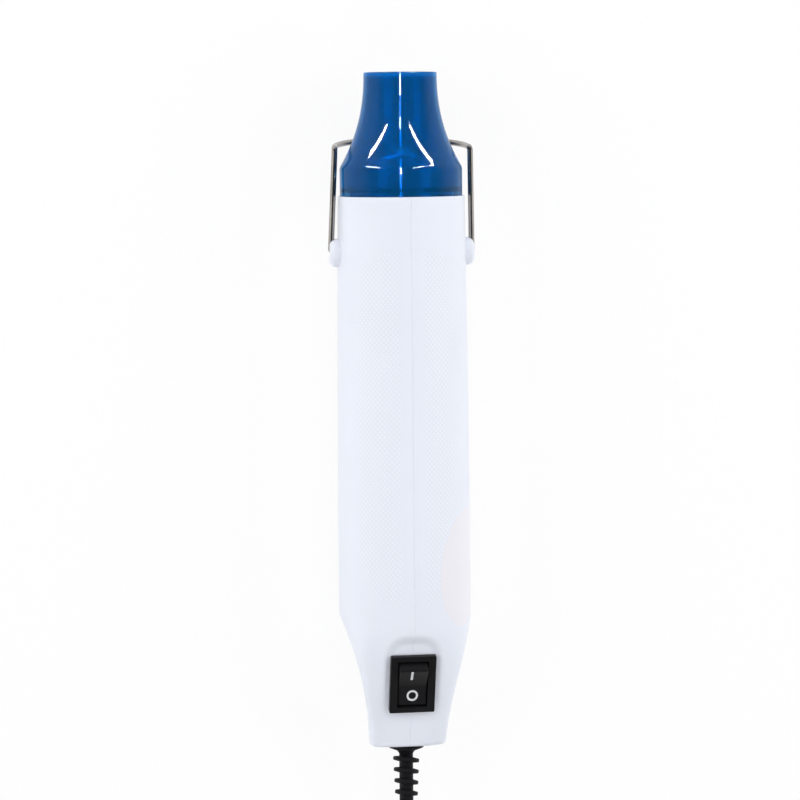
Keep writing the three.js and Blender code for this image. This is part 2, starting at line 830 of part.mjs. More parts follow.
// One edge of a mica plate, from its lower to its upper end, notched for the coil.
function plateEdge(side, notches) {
  const half = coilWireRadius + runningGap;
  const end = crossAt + crossLength;
  const points = [
    [crossTabReach, crossAt],
    [crossTabReach, crossAt + crossTabLength],
    [crossArmReach, crossAt + crossTabLength],
  ];
  for (const place of notches) {
    const depth = coilRadius * Math.cos(Math.PI / coilStepsPerTurn) - half;
    points.push([crossArmReach, place - half], [depth, place - half]);
    points.push([depth, place + half], [crossArmReach, place + half]);
  }
  points.push([crossArmReach, end - crossTabLength], [crossTabReach, end - crossTabLength]);
  points.push([crossTabReach, end]);
  return points.map(([reach, along]) => new THREE.Vector2(side * reach, along));
}

// A mica plate in the plane of X and Y, with a half lap slot that is open at one end.
function micaPlate(rightNotches, leftNotches, openAtTop) {
  const slotHalf = crossThickness / 2 + runningGap;
  const middle = crossAt + crossLength / 2;
  const end = openAtTop ? crossAt + crossLength : crossAt;
  const floor = openAtTop ? middle - tightGap : middle + tightGap;
  const slot = [
    [slotHalf, end],
    [slotHalf, floor],
    [-slotHalf, floor],
    [-slotHalf, end],
  ].map(([x, y]) => new THREE.Vector2(x, y));
  const right = plateEdge(1, rightNotches);
  const left = plateEdge(-1, leftNotches).reverse();
  const outline = openAtTop ? [...right, ...slot, ...left] : [...slot.reverse(), ...right, ...left];
  const geometry = new THREE.ExtrudeGeometry(new THREE.Shape(outline), {
    depth: crossThickness,
    bevelEnabled: false,
  });
  return geometry.translate(0, 0, -crossThickness / 2);
}

// A point beside the tool's axis: its radius, its angle about the axis from X, and its place along Y.
const polar = (radius, angle, along, aside = 0) =>
  new THREE.Vector3(
    radius * Math.cos(angle) - aside * Math.sin(angle),
    along,
    radius * Math.sin(angle) + aside * Math.cos(angle),
  );

// The heating wire: up from its lead, round the cross, in to the middle and back to the tail end.
function heatingCoilPoints() {
  const start = -heaterWireAngle;
  const end = start + 2 * Math.PI * coilTurns;
  const top = coilAt + coilPitch * coilTurns;
  const points = [polar(coilRadius, start, coilAt - coilLeadLength)];
  const bendSteps = 3;
  for (let i = 0; i <= bendSteps; i++) {
    const bend = (Math.PI / 2) * (i / bendSteps);
    const aside = coilBend * (1 - Math.cos(bend));
    points.push(polar(coilRadius, start, coilAt - coilBend * (1 - Math.sin(bend)), aside));
  }
  const steps = Math.floor(coilTurns * coilStepsPerTurn);
  for (let i = 1; i < steps; i++) {
    const turns = i / coilStepsPerTurn;
    points.push(polar(coilRadius, start + 2 * Math.PI * turns, coilAt + coilPitch * turns));
  }
  for (let i = 0; i <= bendSteps; i++) {
    const bend = (Math.PI / 2) * (i / bendSteps);
    const aside = coilBend * (Math.sin(bend) - 1);
    points.push(polar(coilRadius - coilBend * (1 - Math.cos(bend)), end, top, aside));
  }
  for (let i = 0; i <= bendSteps; i++) {
    const bend = (Math.PI / 2) * (i / bendSteps);
    const radius = coilReturnRadius + coilBend * (1 - Math.sin(bend));
    points.push(polar(radius, end, top - coilBend * (1 - Math.cos(bend))));
  }
  points.push(polar(coilReturnRadius, end, linerAt + runningGap));
  return points;
}

function addHeater() {
  const liner = turnedRing([
    [linerOuter - linerThickness, linerAt],
    [linerOuter, linerAt],
    [linerOuter, linerEnd],
    [linerOuter - linerThickness, linerEnd],
  ]);
  addPiece('mica_liner', liner, paint.mica);
  const quarter = Math.PI / 2;
  const level = micaPlate(coilCrossings(0), coilCrossings(2 * quarter), true);
  const upright = micaPlate(coilCrossings(3 * quarter), coilCrossings(quarter), false);
  addPiece('mica_plate_level', solid(level), paint.mica);
  addPiece('mica_plate_upright', solid(upright.rotateY(quarter)), paint.mica);
  const coil = tube(heatingCoilPoints(), coilWireRadius, coilSides);
  addPiece('heater_coil', coil, paint.heating);
  const low = [cutoutAcross - cutoutSize.x / 2, crossAt, crossThickness / 2 + tightGap];
  const high = low.map((value, axis) => value + cutoutSize.getComponent(axis));
  addPiece('thermal_cutout', block(low, high), paint.black);
}

function addDuct() {
  const inner = shroudRadius - shroudWall;
  const socketInner = barrelRadius + runningGap;
  const throat = barrelRadius - ledgeWidth;
  const neck = shroudAt + shroudLength;
  const shell = turnedRing([
    [inner, shroudAt],
    [shroudRadius, shroudAt],
    [shroudRadius, ductFlangeAt],
    [ductFlangeRadius, ductFlangeAt],
    [ductFlangeRadius, ductFlangeAt + ductFlangeThickness],
    [shroudRadius, ductFlangeAt + ductFlangeThickness],
    [shroudRadius, neck],
    [socketRadius, neck + neckSlope],
    [socketRadius, ductEnd],
    [socketInner, ductEnd],
    [socketInner, ledgeAt],
    [throat, ledgeAt],
    [throat, ledgeAt - ledgeThickness],
    [inner, ledgeAt - ledgeThickness - throatLength],
  ]);
  const cupInner = motorRadius + runningGap;
  const cupOuter = cupInner + cupWall;
  const cup = turnedRing([
    [cupInner, shroudAt],
    [cupOuter, shroudAt],
    [cupOuter, cupEnd],
    [cupLipRadius, cupEnd],
    [cupLipRadius, cupEnd - cupLip],
    [cupInner, cupEnd - cupLip],
  ]);
  const spokes = [];
  for (let i = 0; i < spokeCount; i++) {
    const from = cupOuter - cupWall / 2;
    const reach = inner + shroudWall / 2 - from;
    const spoke = new THREE.BoxGeometry(reach, spokeLength, spokeThickness);
    spoke.translate(from + reach / 2, shroudAt + cupLength / 2, 0);
    spokes.push(solid(spoke.rotateY((2 * Math.PI * i) / spokeCount)));
  }
  const notches = [];
  for (const side of [-1, 1]) {
    notches.push(wireNotch(side, shroudRadius + 0.1, ductFlangeRadius + 1, shroudAt, shroudAt + 8));
    notches.push(wireNotch(side, throat - 1, shroudRadius + 1, neck - 8, ledgeAt - 1.3));
  }
  addPiece('fan_duct', joined([shell, cup, ...spokes]).subtract(joined(notches)), paint.duct);
}

function addMotor() {
  const bossEnd = motorFront + motorBossLength;
  const bore = shaftRadius + runningGap;
  const can = turned([
    [0, motorAt],
    [motorRadius, motorAt],
    [motorRadius, motorFront - motorChamfer],
    [motorRadius - motorChamfer, motorFront],
    [motorBossRadius, motorFront],
    [motorBossRadius, bossEnd],
    [bore, bossEnd],
    [bore, bossEnd - shaftSunk - runningGap],
    [0, bossEnd - shaftSunk - runningGap],
  ]);
  addPiece('motor_can', can, paint.steel);
  const endCap = turned([
    [0, motorEndCapAt],
    [motorEndCapRadius - motorChamfer, motorEndCapAt],
    [motorEndCapRadius, motorEndCapAt + motorChamfer],
    [motorEndCapRadius, motorAt],
    [0, motorAt],
  ]);
  addPiece('motor_end_cap', endCap, paint.black);
  for (const side of [-1, 1]) {
    const x = (side * motorTabSpacing) / 2;
    const half = [motorTabThickness / 2, motorTabWidth / 2];
    const low = [x - half[0], motorEndCapAt - motorTabLength, -half[1]];
    const high = [x + half[0], motorEndCapAt, half[1]];
    addPiece('motor_terminal_' + (side < 0 ? 'left' : 'right'), block(low, high), paint.brass);
  }
  const shaftEnd = fanAt + fanHubLength + shaftProud;
  addPiece('motor_shaft', rodAlongY(shaftRadius, bossEnd - shaftSunk, shaftEnd, 12), paint.steel);
}

// A twisted blade as a loft from inside the hub to the tip.
function fanBlade(turn) {
  const middle = fanAt + fanHubLength / 2;
  const corners = [[-1, -1], [0, -1], [1, -1], [1, 1], [0, 1], [-1, 1]];
  const rings = [];
  const steps = 2;
  for (let i = 0; i <= steps; i++) {
    const radius = between(fanHubRadius - 1, fanTipRadius, i / steps);
    const pitch = between(fanRootPitch, fanTipPitch, i / steps);
    const ring = corners.map(([alongChord, through]) => {
      const chord = (alongChord * fanBladeChord) / 2;
      const thickness = (through * fanBladeThickness) / 2;
      const across = chord * Math.sin(pitch) + thickness * Math.cos(pitch);
      const along = chord * Math.cos(pitch) - thickness * Math.sin(pitch);
      return polar(radius, turn + across / radius, middle + along);
    });
    rings.push(ring);
  }
  return loft(rings);
}

function addFan() {
  const end = fanAt + fanHubLength;
  const blades = [];
  for (let i = 0; i < fanBlades; i++) {
    blades.push(fanBlade((2 * Math.PI * i) / fanBlades));
  }
  const hub = rodAlongY(fanHubRadius, fanAt, end, 20);
  const bore = rodAlongY(shaftRadius + 0.25, fanAt - 1, end + 1, 12);
  addPiece('fan_impeller', joined([hub, ...blades]).subtract(bore), paint.fan);
}

function addRectifier() {
  const slots = [-1, 1].map((side) => {
    const x = (side * motorTabSpacing) / 2;
    const halfX = motorTabThickness / 2 + runningGap;
    const halfZ = motorTabWidth / 2 + runningGap;
    return block([x - halfX, boardAt - 1, -halfZ], [x + halfX, boardAt + boardThickness + 1, halfZ]);
  });
  const disc = rodAlongY(boardRadius, boardAt, boardAt + boardThickness, 28);
  addPiece('rectifier_board', disc.subtract(joined(slots)), paint.board);
  for (let i = 0; i < diodeCount; i++) {
    const x = (i - (diodeCount - 1) / 2) * diodeSpacing;
    const along = boardAt - diodeStandOff;
    const foot = boardAt - tightGap;
    const span = diodeLegSpan / 2;
    const corners = [
      new THREE.Vector3(x, foot, -span),
      new THREE.Vector3(x, along, -span),
      new THREE.Vector3(x, along, span),
      new THREE.Vector3(x, foot, span),
    ];
    const legs = tube(bentRoute(corners, diodeLegBend, 2), diodeLegRadius, 4);
    const body = new THREE.CylinderGeometry(diodeRadius, diodeRadius, diodeLength, 8);
    const barrel = solid(body.rotateX(Math.PI / 2).translate(x, along, 0));
    addPiece('diode_' + (i + 1), legs.add(barrel), paint.black);
  }
}

const switchGroup = new THREE.Group();
switchGroup.applyMatrix4(switchPlace);
tool.add(switchGroup);

const rockerEndRadius = Math.hypot(rockerLength / 2, rockerCrown);

// The rocker's outline about its pivot, at rest with the off half level
function rockerOutline() {
  const endAngle = Math.atan2(rockerCrown, rockerLength / 2) + rockerThrow / 2;
  const arcSteps = 4;
  const right = [];
  for (let i = 0; i <= arcSteps; i++) {
    const angle = between(endAngle, -rockerSkirtAngle, i / arcSteps);
    right.push([rockerEndRadius * Math.cos(angle), rockerEndRadius * Math.sin(angle)]);
  }
  right.push([rockerFootWidth / 2, -rockerFoot]);
  const left = right.map(([x, y]) => [-x, y]).reverse();
  const valley = [0, rockerCrown / Math.cos(rockerThrow / 2)];
  const points = [valley, ...right, ...left].map(([x, y]) => new THREE.Vector2(x, y));
  return points.map((point) => point.rotateAround(new THREE.Vector2(), rockerThrow / 2));
}

function addSwitch() {
  const wellHalfX = rockerWidth / 2 + runningGap;
  const wellHalfY = rockerEndRadius + runningGap;
  const bezel = roundedRectangle(bezelWidth, bezelLength, bezelRadius);
  const housing = roundedRectangle(housingWidth, housingLength, bezelRadius);
  const here = new THREE.Matrix4();
  const body = extruded(bezel, bezelHeight, here)
    .add(extruded(housing, housingDepth + 0.5, moved(here, 0, 0, -housingDepth)))
    .subtract(block([-wellHalfX, -wellHalfY, -rockerWell], [wellHalfX, wellHalfY, bezelHeight + 1]))
    .subtract(rodAlongX(rockerPinRadius + 0.25, -pinBoreEnd, pinBoreEnd, 0, -rockerPivotDepth));
  const seats = [];
  for (const [index, end] of [-1, 1].entries()) {
    const y = (end * tabSpacing) / 2;
    const half = [tabWidth / 2, tabThickness / 2];
    const top = tabSeat - housingDepth;
    const tab = block([-half[0], y - half[1], top - tabLength], [half[0], y + half[1], top]);
    addPiece('switch_terminal_' + (index + 1), tab, paint.brass, switchGroup);
    const grown = half.map((value) => value + tightGap);
    const seatLow = [-grown[0], y - grown[1], -housingDepth - 1];
    seats.push(block(seatLow, [grown[0], y + grown[1], top + tightGap]));
  }
  addPiece('switch_body', body.subtract(joined(seats)), paint.black, switchGroup);
  const from = sideways(-rockerWidth / 2, 0, -rockerPivotDepth);
  const pinEnd = rockerWidth / 2 + rockerPinReach;
  const pin = rodAlongX(rockerPinRadius, -pinEnd, pinEnd, 0, -rockerPivotDepth);
  const rocker = extruded(new THREE.Shape(rockerOutline()), rockerWidth, from).add(pin);
  addPiece('switch_rocker', rocker, paint.black, switchGroup);
}

// The stand's crossbar behind the cap, by the angle round the cap from the right leg
function crossbarPoint(angle) {
  const depth = standDepth * Math.sin(angle);
  const along = earAt + legLength + depth * Math.tan(standRise);
  return new THREE.Vector3(legCornerX * Math.cos(angle), along, -depth);
}

function addStand() {
  const corners = [
    new THREE.Vector3(pivotEndX, earAt, 0),
    new THREE.Vector3(legPivotX, earAt, 0),
    crossbarPoint(0),
    crossbarPoint(crossbarStraight),
  ];
  const right = bentRoute(corners, standBend, 4);
  for (let i = 1; i < crossbarSteps; i++) {
    right.push(crossbarPoint(between(crossbarStraight, Math.PI / 2, i / crossbarSteps)));
  }
  const left = right.map(({ x, y, z }) => new THREE.Vector3(-x, y, z)).reverse();
  const route = [...right, crossbarPoint(Math.PI / 2), ...left];
  addPiece('wire_stand', tube(route, wireRadius, wireSides), paint.wire);
}

const clampScrewHeights = () => [-clampScrewSpacing / 2, clampScrewSpacing / 2];

// A screw along X, driven from the right, with a cross recess in its head.
function crossScrew(seat, along, height) {
  const top = seat + screwHeadLength;
  const head = rodAlongX(screwHeadRadius, seat, top, along, height);
  const shank = rodAlongX(screwShankRadius, seat - screwShankLength, seat + 0.5, along, height, 8);
  const wide = screwRecessLength / 2;
  const narrow = screwRecessWidth / 2;
  const recess = (halfY, halfZ) =>
    block(
      [top - screwRecessDepth, along - halfY, height - halfZ],
      [top + 1, along + halfY, height + halfZ],
    );
  return head.add(shank).subtract(recess(wide, narrow).add(recess(narrow, wide)));
}

function addScrews() {
  screwPlaces.forEach(({ along, height, seat }, index) => {
    addPiece('casing_screw_' + (index + 1), crossScrew(seat, along, height), paint.steel);
  });
}

// The bar that two screws pull against the lead, inside the tail end
function addClamp() {
  const low = leadRadius + runningGap;
  const high = low + clampThickness;
  const bar = block(
    [low, clampAt - clampWidth / 2, -clampHeight / 2],
    [high, clampAt + clampWidth / 2, clampHeight / 2],
  );
  const holes = clampScrewHeights().map((height) =>
    rodAlongX(shankHoleRadius, low - 1, high + 1, clampAt, height),
  );
  addPiece('clamp_bar', bar.subtract(joined(holes)), paint.black);
  clampScrewHeights().forEach((height, index) => {
    addPiece('clamp_screw_' + (index + 1), crossScrew(high, clampAt, height), paint.steel);
  });
}

// The ribbed sleeve: flange inside the tail wall, neck through it, collar and tilted ribs outside
function addRelief() {
  const flangeAt = tailWall + runningGap;
  const funnelEnd = reliefCollarEdge + reliefFunnelLength;
  const parts = [
    turned(
      [
        [0, -reliefLength],
        [reliefCore, -reliefLength],
        [reliefCore, -funnelEnd - reliefFunnelTip],
        [reliefFunnelRadius, -funnelEnd],
        [reliefCollarRadius - 0.2, -reliefCollarEdge],
        [reliefCollarRadius, 0],
        [reliefNeckRadius, 0],
        [reliefNeckRadius, flangeAt],
        [reliefFlangeRadius, flangeAt],
        [reliefFlangeRadius, flangeAt + reliefFlangeThickness],
        [0, flangeAt + reliefFlangeThickness],
      ],
      reliefSegments,
    ),
  ];
  for (let i = 0; i < reliefRibs; i++) {
    const radius = reliefRibRadius - reliefRibTaper * i;
    const inner = (reliefCore + reliefBore) / 2;
    const profile = [
      [0, -reliefRibRoot / 2],
      [inner, -reliefRibRoot / 2],
      [radius, -reliefRibTip / 2],
      [radius, reliefRibTip / 2],
      [inner, reliefRibRoot / 2],
      [0, reliefRibRoot / 2],
    ].map(([x, y]) => new THREE.Vector2(x, y));
    const rib = new THREE.LatheGeometry(profile, reliefSegments);
    rib.rotateZ(-reliefRibTilt).rotateX(-reliefRibLean);
    parts.push(solid(rib.translate(0, -reliefFirstRibAt - reliefRibPitch * i, 0)));
  }
  const bore = rodAlongY(reliefBore, -reliefLength - 1, flangeAt + reliefFlangeThickness + 1, 12);
  addPiece('strain_relief', joined(parts).subtract(bore), paint.rubber);
  addPiece('cord_inner', rodAlongY(leadRadius, -reliefLength, innerLeadEnd, 12), paint.rubber);
}

// The put-away coil's centre line, from its start on the floor to its end on top
function woundPoints() {
  const outerRadius = windMeanRadius + (windPitch * windTurnsPerLayer) / 2;
  const points = [];
  for (let i = 0; i <= windLayers * windTurnsPerLayer * windStepsPerTurn; i++) {
    const turns = i / windStepsPerTurn;
    const layer = Math.min(Math.floor(turns / windTurnsPerLayer), windLayers - 1);
    const inLayer = turns - layer * windTurnsPerLayer;
    const inward = layer % 2 ? windTurnsPerLayer - inLayer : inLayer;
    const reversal = Math.round(turns / windTurnsPerLayer);
    const past = turns - reversal * windTurnsPerLayer;
    const climbed = reversal - 1 + THREE.MathUtils.smoothstep(past, -windClimb, windClimb);
    const level = THREE.MathUtils.clamp(climbed, 0, windLayers - 1);
    const angle = windStartAngle + 2 * Math.PI * turns;
    const radius = outerRadius - windPitch * inward;
    const x = windAt.x + radius * Math.cos(angle);
    const y = windAt.y + radius * Math.sin(angle);
    points.push(new THREE.Vector3(x, y, floorHeight + leadRadius + windRise * level));
  }
  const heading = (from, to) => to.clone().sub(from).setZ(0).normalize();
  const start = heading(points[0], points[1]);
  const end = heading(points.at(-2), points.at(-1));
  points.unshift(points[0].clone().addScaledVector(start, -2 * leadRadius));
  points.push(points.at(-1).clone().addScaledVector(end, 2 * leadRadius));
  return { points, start, end };
}

// The least gap between two stretches of the coil, half a turn or more apart along it
function leastSelfGap(points, radius) {
  const stretch = new THREE.Line3();
  const nearest = new THREE.Vector3();
  let least = Infinity;
  for (let i = 0; i < points.length; i++) {
    for (let j = i + windStepsPerTurn / 2; j < points.length - 1; j++) {
      stretch.set(points[j], points[j + 1]).closestPointToPoint(points[i], true, nearest);
      least = Math.min(least, nearest.distanceTo(points[i]) - 2 * radius);
    }
  }
  return least;
}

const at = (x, y, z) => new THREE.Vector3(x, y, z);

// The free lead keeps above the floor on which it comes to lie.
function leadTube(places) {
  const points = smoothRoute(places, leadStep);
  for (const point of points) point.z = Math.max(point.z, floorHeight + leadRadius);
  return tube(points, leadRadius, leadSides);
}

function plugRing(x, width, thickness) {
  const ring = [];
  const count = 20;
  for (let i = 0; i < count; i++) {
    const angle = (2 * Math.PI * (i + 0.5)) / count;
    const squared = (value) => Math.sign(value) * Math.sqrt(Math.abs(value));
    const y = plugAt.y + (width / 2) * squared(Math.cos(angle));
    const z = floorHeight + plugThickness / 2 + (thickness / 2) * squared(Math.sin(angle));
    ring.push(at(plugAt.x + x, y, z));
  }
  return ring;
}

function addLead() {
  const { points, start, end } = woundPoints();
  console.log('least gap in the wound lead', leastSelfGap(points, leadRadius).toFixed(2), 'mm');
  const low = floorHeight + leadRadius;
  const first = points[0].clone().addScaledVector(start, -runningGap);
  const leadPlaces = [
    at(0, -reliefLength - runningGap, 0),
    at(0, -reliefLength - 5, 0),
    at(0, -reliefLength - 10.5, -0.4),
    at(-1.6, -57.5, -3.9),
    at(-5.6, -67, -10.2),
    at(-11.2, -76.5, -16.2),
    at(-16.6, -85, low + 0.3),
    first.clone().addScaledVector(start, -6),
    first,
  ];
  addPiece('cord_lead', leadTube(leadPlaces), paint.rubber);
  addPiece('cord_coil', tube(points, leadRadius, windSides), paint.rubber);
  const last = points.at(-1).clone().addScaledVector(end, runningGap);
  const entry = at(plugAt.x - plugNeckLength - runningGap, plugAt.y, floorHeight + plugThickness / 2);
  const tailPlaces = [
    last,
    last.clone().addScaledVector(end, 5),
    at(-27.4, -120, last.z - 1),
    at(-29, -129, last.z - 2.9),
    at(-29.3, -137, entry.z + 1),
    at(-27.6, -144, entry.z + 0.2),
    at(entry.x - 4, entry.y, entry.z),
    entry,
  ];
  addPiece('cord_tail', leadTube(tailPlaces), paint.rubber);
  const rings = [
    plugRing(0, 0.46 * plugWidth, 0.66 * plugThickness),
    plugRing(0.12 * plugLength, 0.66 * plugWidth, 0.85 * plugThickness),
    plugRing(0.5 * plugLength, 0.86 * plugWidth, plugThickness),
    plugRing(0.85 * plugLength, plugWidth, plugThickness),
    plugRing(plugLength, plugWidth, plugThickness),
  ];
  const neckAt = plugAt.x - plugNeckLength;
  const neck = rodAlongX(plugNeckRadius, neckAt, plugAt.x + 1, plugAt.y, entry.z);
  addPiece('plug_body', loft(rings).add(neck), paint.rubber);
  const face = plugAt.x + plugLength;
  for (const side of [-1, 1]) {
    const y = plugAt.y + (side * bladeSpacing) / 2;
    const low3 = [face, y - bladeThickness / 2, entry.z - bladeWidth / 2];
    const high3 = [face + bladeLength, y + bladeThickness / 2, entry.z + bladeWidth / 2];
    addPiece('plug_blade_' + (side < 0 ? '1' : '2'), block(low3, high3), paint.brass);
  }
}

function addWire(name, places, look) {
  addPiece(name, tube(smoothRoute(places, wireCoreStep), wireCoreRadius, wireCoreSides), look);
}

// The tip of a switch terminal, moved on along the terminal by a distance.
function terminalTip(end, beyond) {
  const depth = housingDepth - tabSeat + tabLength + beyond;
  return at(0, (end * tabSpacing) / 2, -depth).applyMatrix4(switchPlace);
}

function addWires() {
  const leadEnd = innerLeadEnd + 2 * runningGap;
  const housingFloor = at(0, 0, -housingDepth).applyMatrix4(switchPlace).z;
  const board = boardAt - runningGap;
  const live = [
    at(0, leadEnd, wireCoreOffset),
    at(0, leadEnd + 1, wireCoreOffset),
    at(1.2, leadEnd + 3.2, housingFloor - 3.45),
    at(2.7, leadEnd + 6.8, housingFloor - 4.55),
    at(4.9, leadEnd + 10.6, -4.6),
    at(2.8, terminalTip(-1, 5).y, -7.2),
    terminalTip(-1, 2.6),
    terminalTip(-1, runningGap),
  ];
  addWire('wire_live', live, paint.black);
  const switched = [
    terminalTip(1, runningGap),
    terminalTip(1, 2.6),
    at(0, terminalTip(1, 5).y + 2, terminalTip(1, 6).z),
    at(0.5, 44, -8.4),
    at(0.8, board - 3, -8),
    at(0.8, board, -8),
  ];
  addWire('wire_switched', switched, paint.red);
  const neutral = [
    at(0, leadEnd, -wireCoreOffset),
    at(-1.2, leadEnd + 2.5, -wireCoreOffset),
    at(-4.8, leadEnd + 9, housingFloor - 4.25),
    at(-6.2, leadEnd + 22, housingFloor - 6.45),
    at(-5.8, leadEnd + 33, -6.8),
    at(-5.4, board - 3, -7.6),
    at(-5.4, board, -7.6),
  ];
  addWire('wire_neutral', neutral, paint.blue);
  const boardFace = boardAt + boardThickness + runningGap + tightGap;
  const common = [
    [boardRadius - 2, boardFace],
    [boardRadius - 2, boardFace + 1.4],
    [motorEndCapRadius + 0.9, boardFace + 3],
    [heaterWireRadius - 1.6, motorEndCapAt + 0.6],
    [heaterWireRadius, motorAt],
    [heaterWireRadius, motorAt + 24],
    [heaterWireRadius, shroudAt + 24],
    [heaterWireRadius - 0.7, shroudAt + 27.6],
    [heaterWireRadius - 3, ledgeAt - 4.9],
    [coilRadius + 2, ledgeAt - 2.3],
    [coilRadius, ledgeAt + 1.4],
  ];
  const ends = {
    1: [
      [coilRadius, ledgeAt + 4.5],
      [coilRadius, coilAt - coilLeadLength - runningGap],
    ],
    [-1]: [
      [coilReturnRadius + 3, ledgeAt + 2.7],
      [coilReturnRadius, linerAt - 1.6],
      [coilReturnRadius, linerAt - 0.2],
    ],
  };
  for (const side of [1, -1]) {
    const places = [...common, ...ends[side]].map(([radius, along]) =>
      polar(radius, side > 0 ? -heaterWireAngle : Math.PI + heaterWireAngle, along),
    );
    addWire('heater_wire_' + (side > 0 ? 'right' : 'left'), places, paint.red);
  }
}

addCasing();
addCap();
addBarrel();
addHeater();
addDuct();
addMotor();
addFan();
addRectifier();
addSwitch();
addStand();
addScrews();
addClamp();
addRelief();
addWires();
addLead();

// The tool lies on the flat strip of its back, with the middle of its length over the origin.
tool.position.set(0, -(capTop - reliefLength) / 2, casingBack);

export default tool;
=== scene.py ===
import math

import bmesh
import bpy
from mathutils import Matrix, Vector


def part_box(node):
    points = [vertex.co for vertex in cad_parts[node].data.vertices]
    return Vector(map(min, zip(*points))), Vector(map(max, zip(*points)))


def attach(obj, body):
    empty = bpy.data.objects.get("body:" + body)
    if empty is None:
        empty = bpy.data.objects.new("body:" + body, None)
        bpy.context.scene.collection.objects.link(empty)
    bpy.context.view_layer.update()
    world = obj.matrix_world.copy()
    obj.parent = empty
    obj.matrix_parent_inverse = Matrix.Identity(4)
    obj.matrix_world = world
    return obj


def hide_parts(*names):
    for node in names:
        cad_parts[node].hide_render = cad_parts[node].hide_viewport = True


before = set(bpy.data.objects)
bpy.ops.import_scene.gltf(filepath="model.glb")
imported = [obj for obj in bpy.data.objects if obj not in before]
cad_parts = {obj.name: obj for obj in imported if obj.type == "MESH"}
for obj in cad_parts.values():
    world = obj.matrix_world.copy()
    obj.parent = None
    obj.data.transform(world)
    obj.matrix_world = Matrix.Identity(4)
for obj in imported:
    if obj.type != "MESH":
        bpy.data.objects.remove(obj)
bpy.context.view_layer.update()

# Sizes are in millimetres, in the tool's own frame: Y runs along its axis from the tail end to the
# outlet, X points right and Z points to the switch side. TO_ROW takes that frame to the packed
# model's, in metres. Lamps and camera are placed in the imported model's frame.
MM = 0.001
tail_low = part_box("casing_left")[0]
cap_low, cap_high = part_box("nozzle_cap")
AXIS_HEIGHT = (cap_low.z + cap_high.z) / 2
TO_ROW = Matrix.Translation((0, tail_low.y, AXIS_HEIGHT)) @ Matrix.Scale(MM, 4)
FLOOR = -AXIS_HEIGHT / MM
RUNNING_GAP = 0.3

# Casing
CASING_LENGTH = 188.4
HALF_WIDTH = 22.4
WIDEST_AT = 60
MOUTH_HALF_WIDTH = 21.45
BACK_DEPTH = 21.7
FRONT_SHORTFALL = 0.1
WALL = 1.8
BACK_FLAT = 7
BODY_POWER = 2.35
MOUTH_POWER = 2.1
CREASE_AT = 45
TAIL_HALF_WIDTH = 13.3
TAIL_FRONT = 8.4
TAIL_BACK = 8.5
TAIL_SLOPE = 0.34
CREASE_BLEND = 0.8
TAIL_SIDE_SWEEP = 1.7
TAIL_BACK_SWEEP = 3.3
TAIL_SHOULDER = 5
TAIL_SHOULDER_SWEEP = 4.2
TAIL_FRONT_POWER = 2.8
TAIL_BACK_POWER = 2.1
TAIL_ROUNDING = 1.9
MOUTH_ROUNDING = 0.45
RELIEF_HOLE = 3.5

# Columns of a casing half from the back seam round to the front seam, and its rows along the axis.
# A seam column has a place beside the seam and a dip, for the groove that shows there.
FLAT_COLUMNS = 4
BACK_COLUMNS = 44
FRONT_COLUMNS = 48
SEAM_GAP = 0.01
SEAM_COLUMNS = ((SEAM_GAP, 0.1), (0.12, 0.05), (0.3, 0.015), (0.5, 0.0))
HOLE_SHARES = (1, 0.7, 0.4, 0.2)
TAIL_END_ROWS = 6
TAIL_ROWS = 104
BODY_ROWS = 90
MOUTH_ROWS = 3
ROWS_CHANGE_AT = CREASE_AT + 5

# Screws of the casing: place along the axis, height, and where the head sits
SCREWS = ((160, -18.1, 7.5), (78, -18.1, 7.5), (44.2, -14.2, 9), (17.4, -5.2, 5.5))
SCREW_BOSS = 2.9
SCREW_HEAD_HOLE = 1.9
SCREW_SHANK_HOLE = 1.25

# Air slots in the scooped back of the tail
SLOT_ROWS = 5
SLOT_PITCH = 3.5
SLOT_WIDTH = 1.8
SLOT_FIRST = 23.4
SLOT_SPAN = (1.9, 8.4)
SLOT_DEPTH = 4

# Pad and switch
PAD_TILT = math.radians(15.8)
PAD_TOP = 40.6
PAD_HALF_WIDTH = 9.75
PAD_CORNER = 7
PAD_SOFTNESS = (-1.0, 2.6)
PAD_TOP_SPREAD = 0.75
SWITCH_AT = 23.75
BEZEL = (15.5, 21, 1.9)
HOUSING = (13, 19, 13)
TERMINAL_SPACING = 9
TERMINAL_SEAT = (2.55, 0.55, 1.85)
ROCKER_WIDTH = 9.8
ROCKER_LENGTH = 15.6
ROCKER_CROWN = 2.8
ROCKER_HOLLOW = 0.22
ROCKER_PIVOT = -1.4
ROCKER_THROW = math.radians(22)
ROCKER_SKIRT = math.radians(10)
ROCKER_FOOT = (8, 3.2)
ROCKER_WELL = 6.5
ROCKER_PIN = (1.1, 0.9, 24)
PIN_HOLE = (1.35, 1.2)
MARK_PROUD = 0.05
BAR_MARK = (0.8, 4.7)
RING_MARK = (1.95, 1.28)
RING_STRETCH = 1.18

# Ears and stand
EAR_AT = 169.3
EAR_RADIUS = 4.8
EAR_REACH = 24.8
EAR_ROUNDING = 2.2
WIRE_RADIUS = 1
LEG_PIVOT = 24.2
LEG_CORNER = 23.2
LEG_LENGTH = 35.2
LEG_END = 20.2
STAND_DEPTH = 20.4
STAND_RISE = math.radians(7.5)
STAND_SWING = math.radians(110)
STAND_BEND = 1.6
STAND_STRAIGHT = math.radians(14)
STAND_LEAN = 0.7
STAND_STEPS = 26

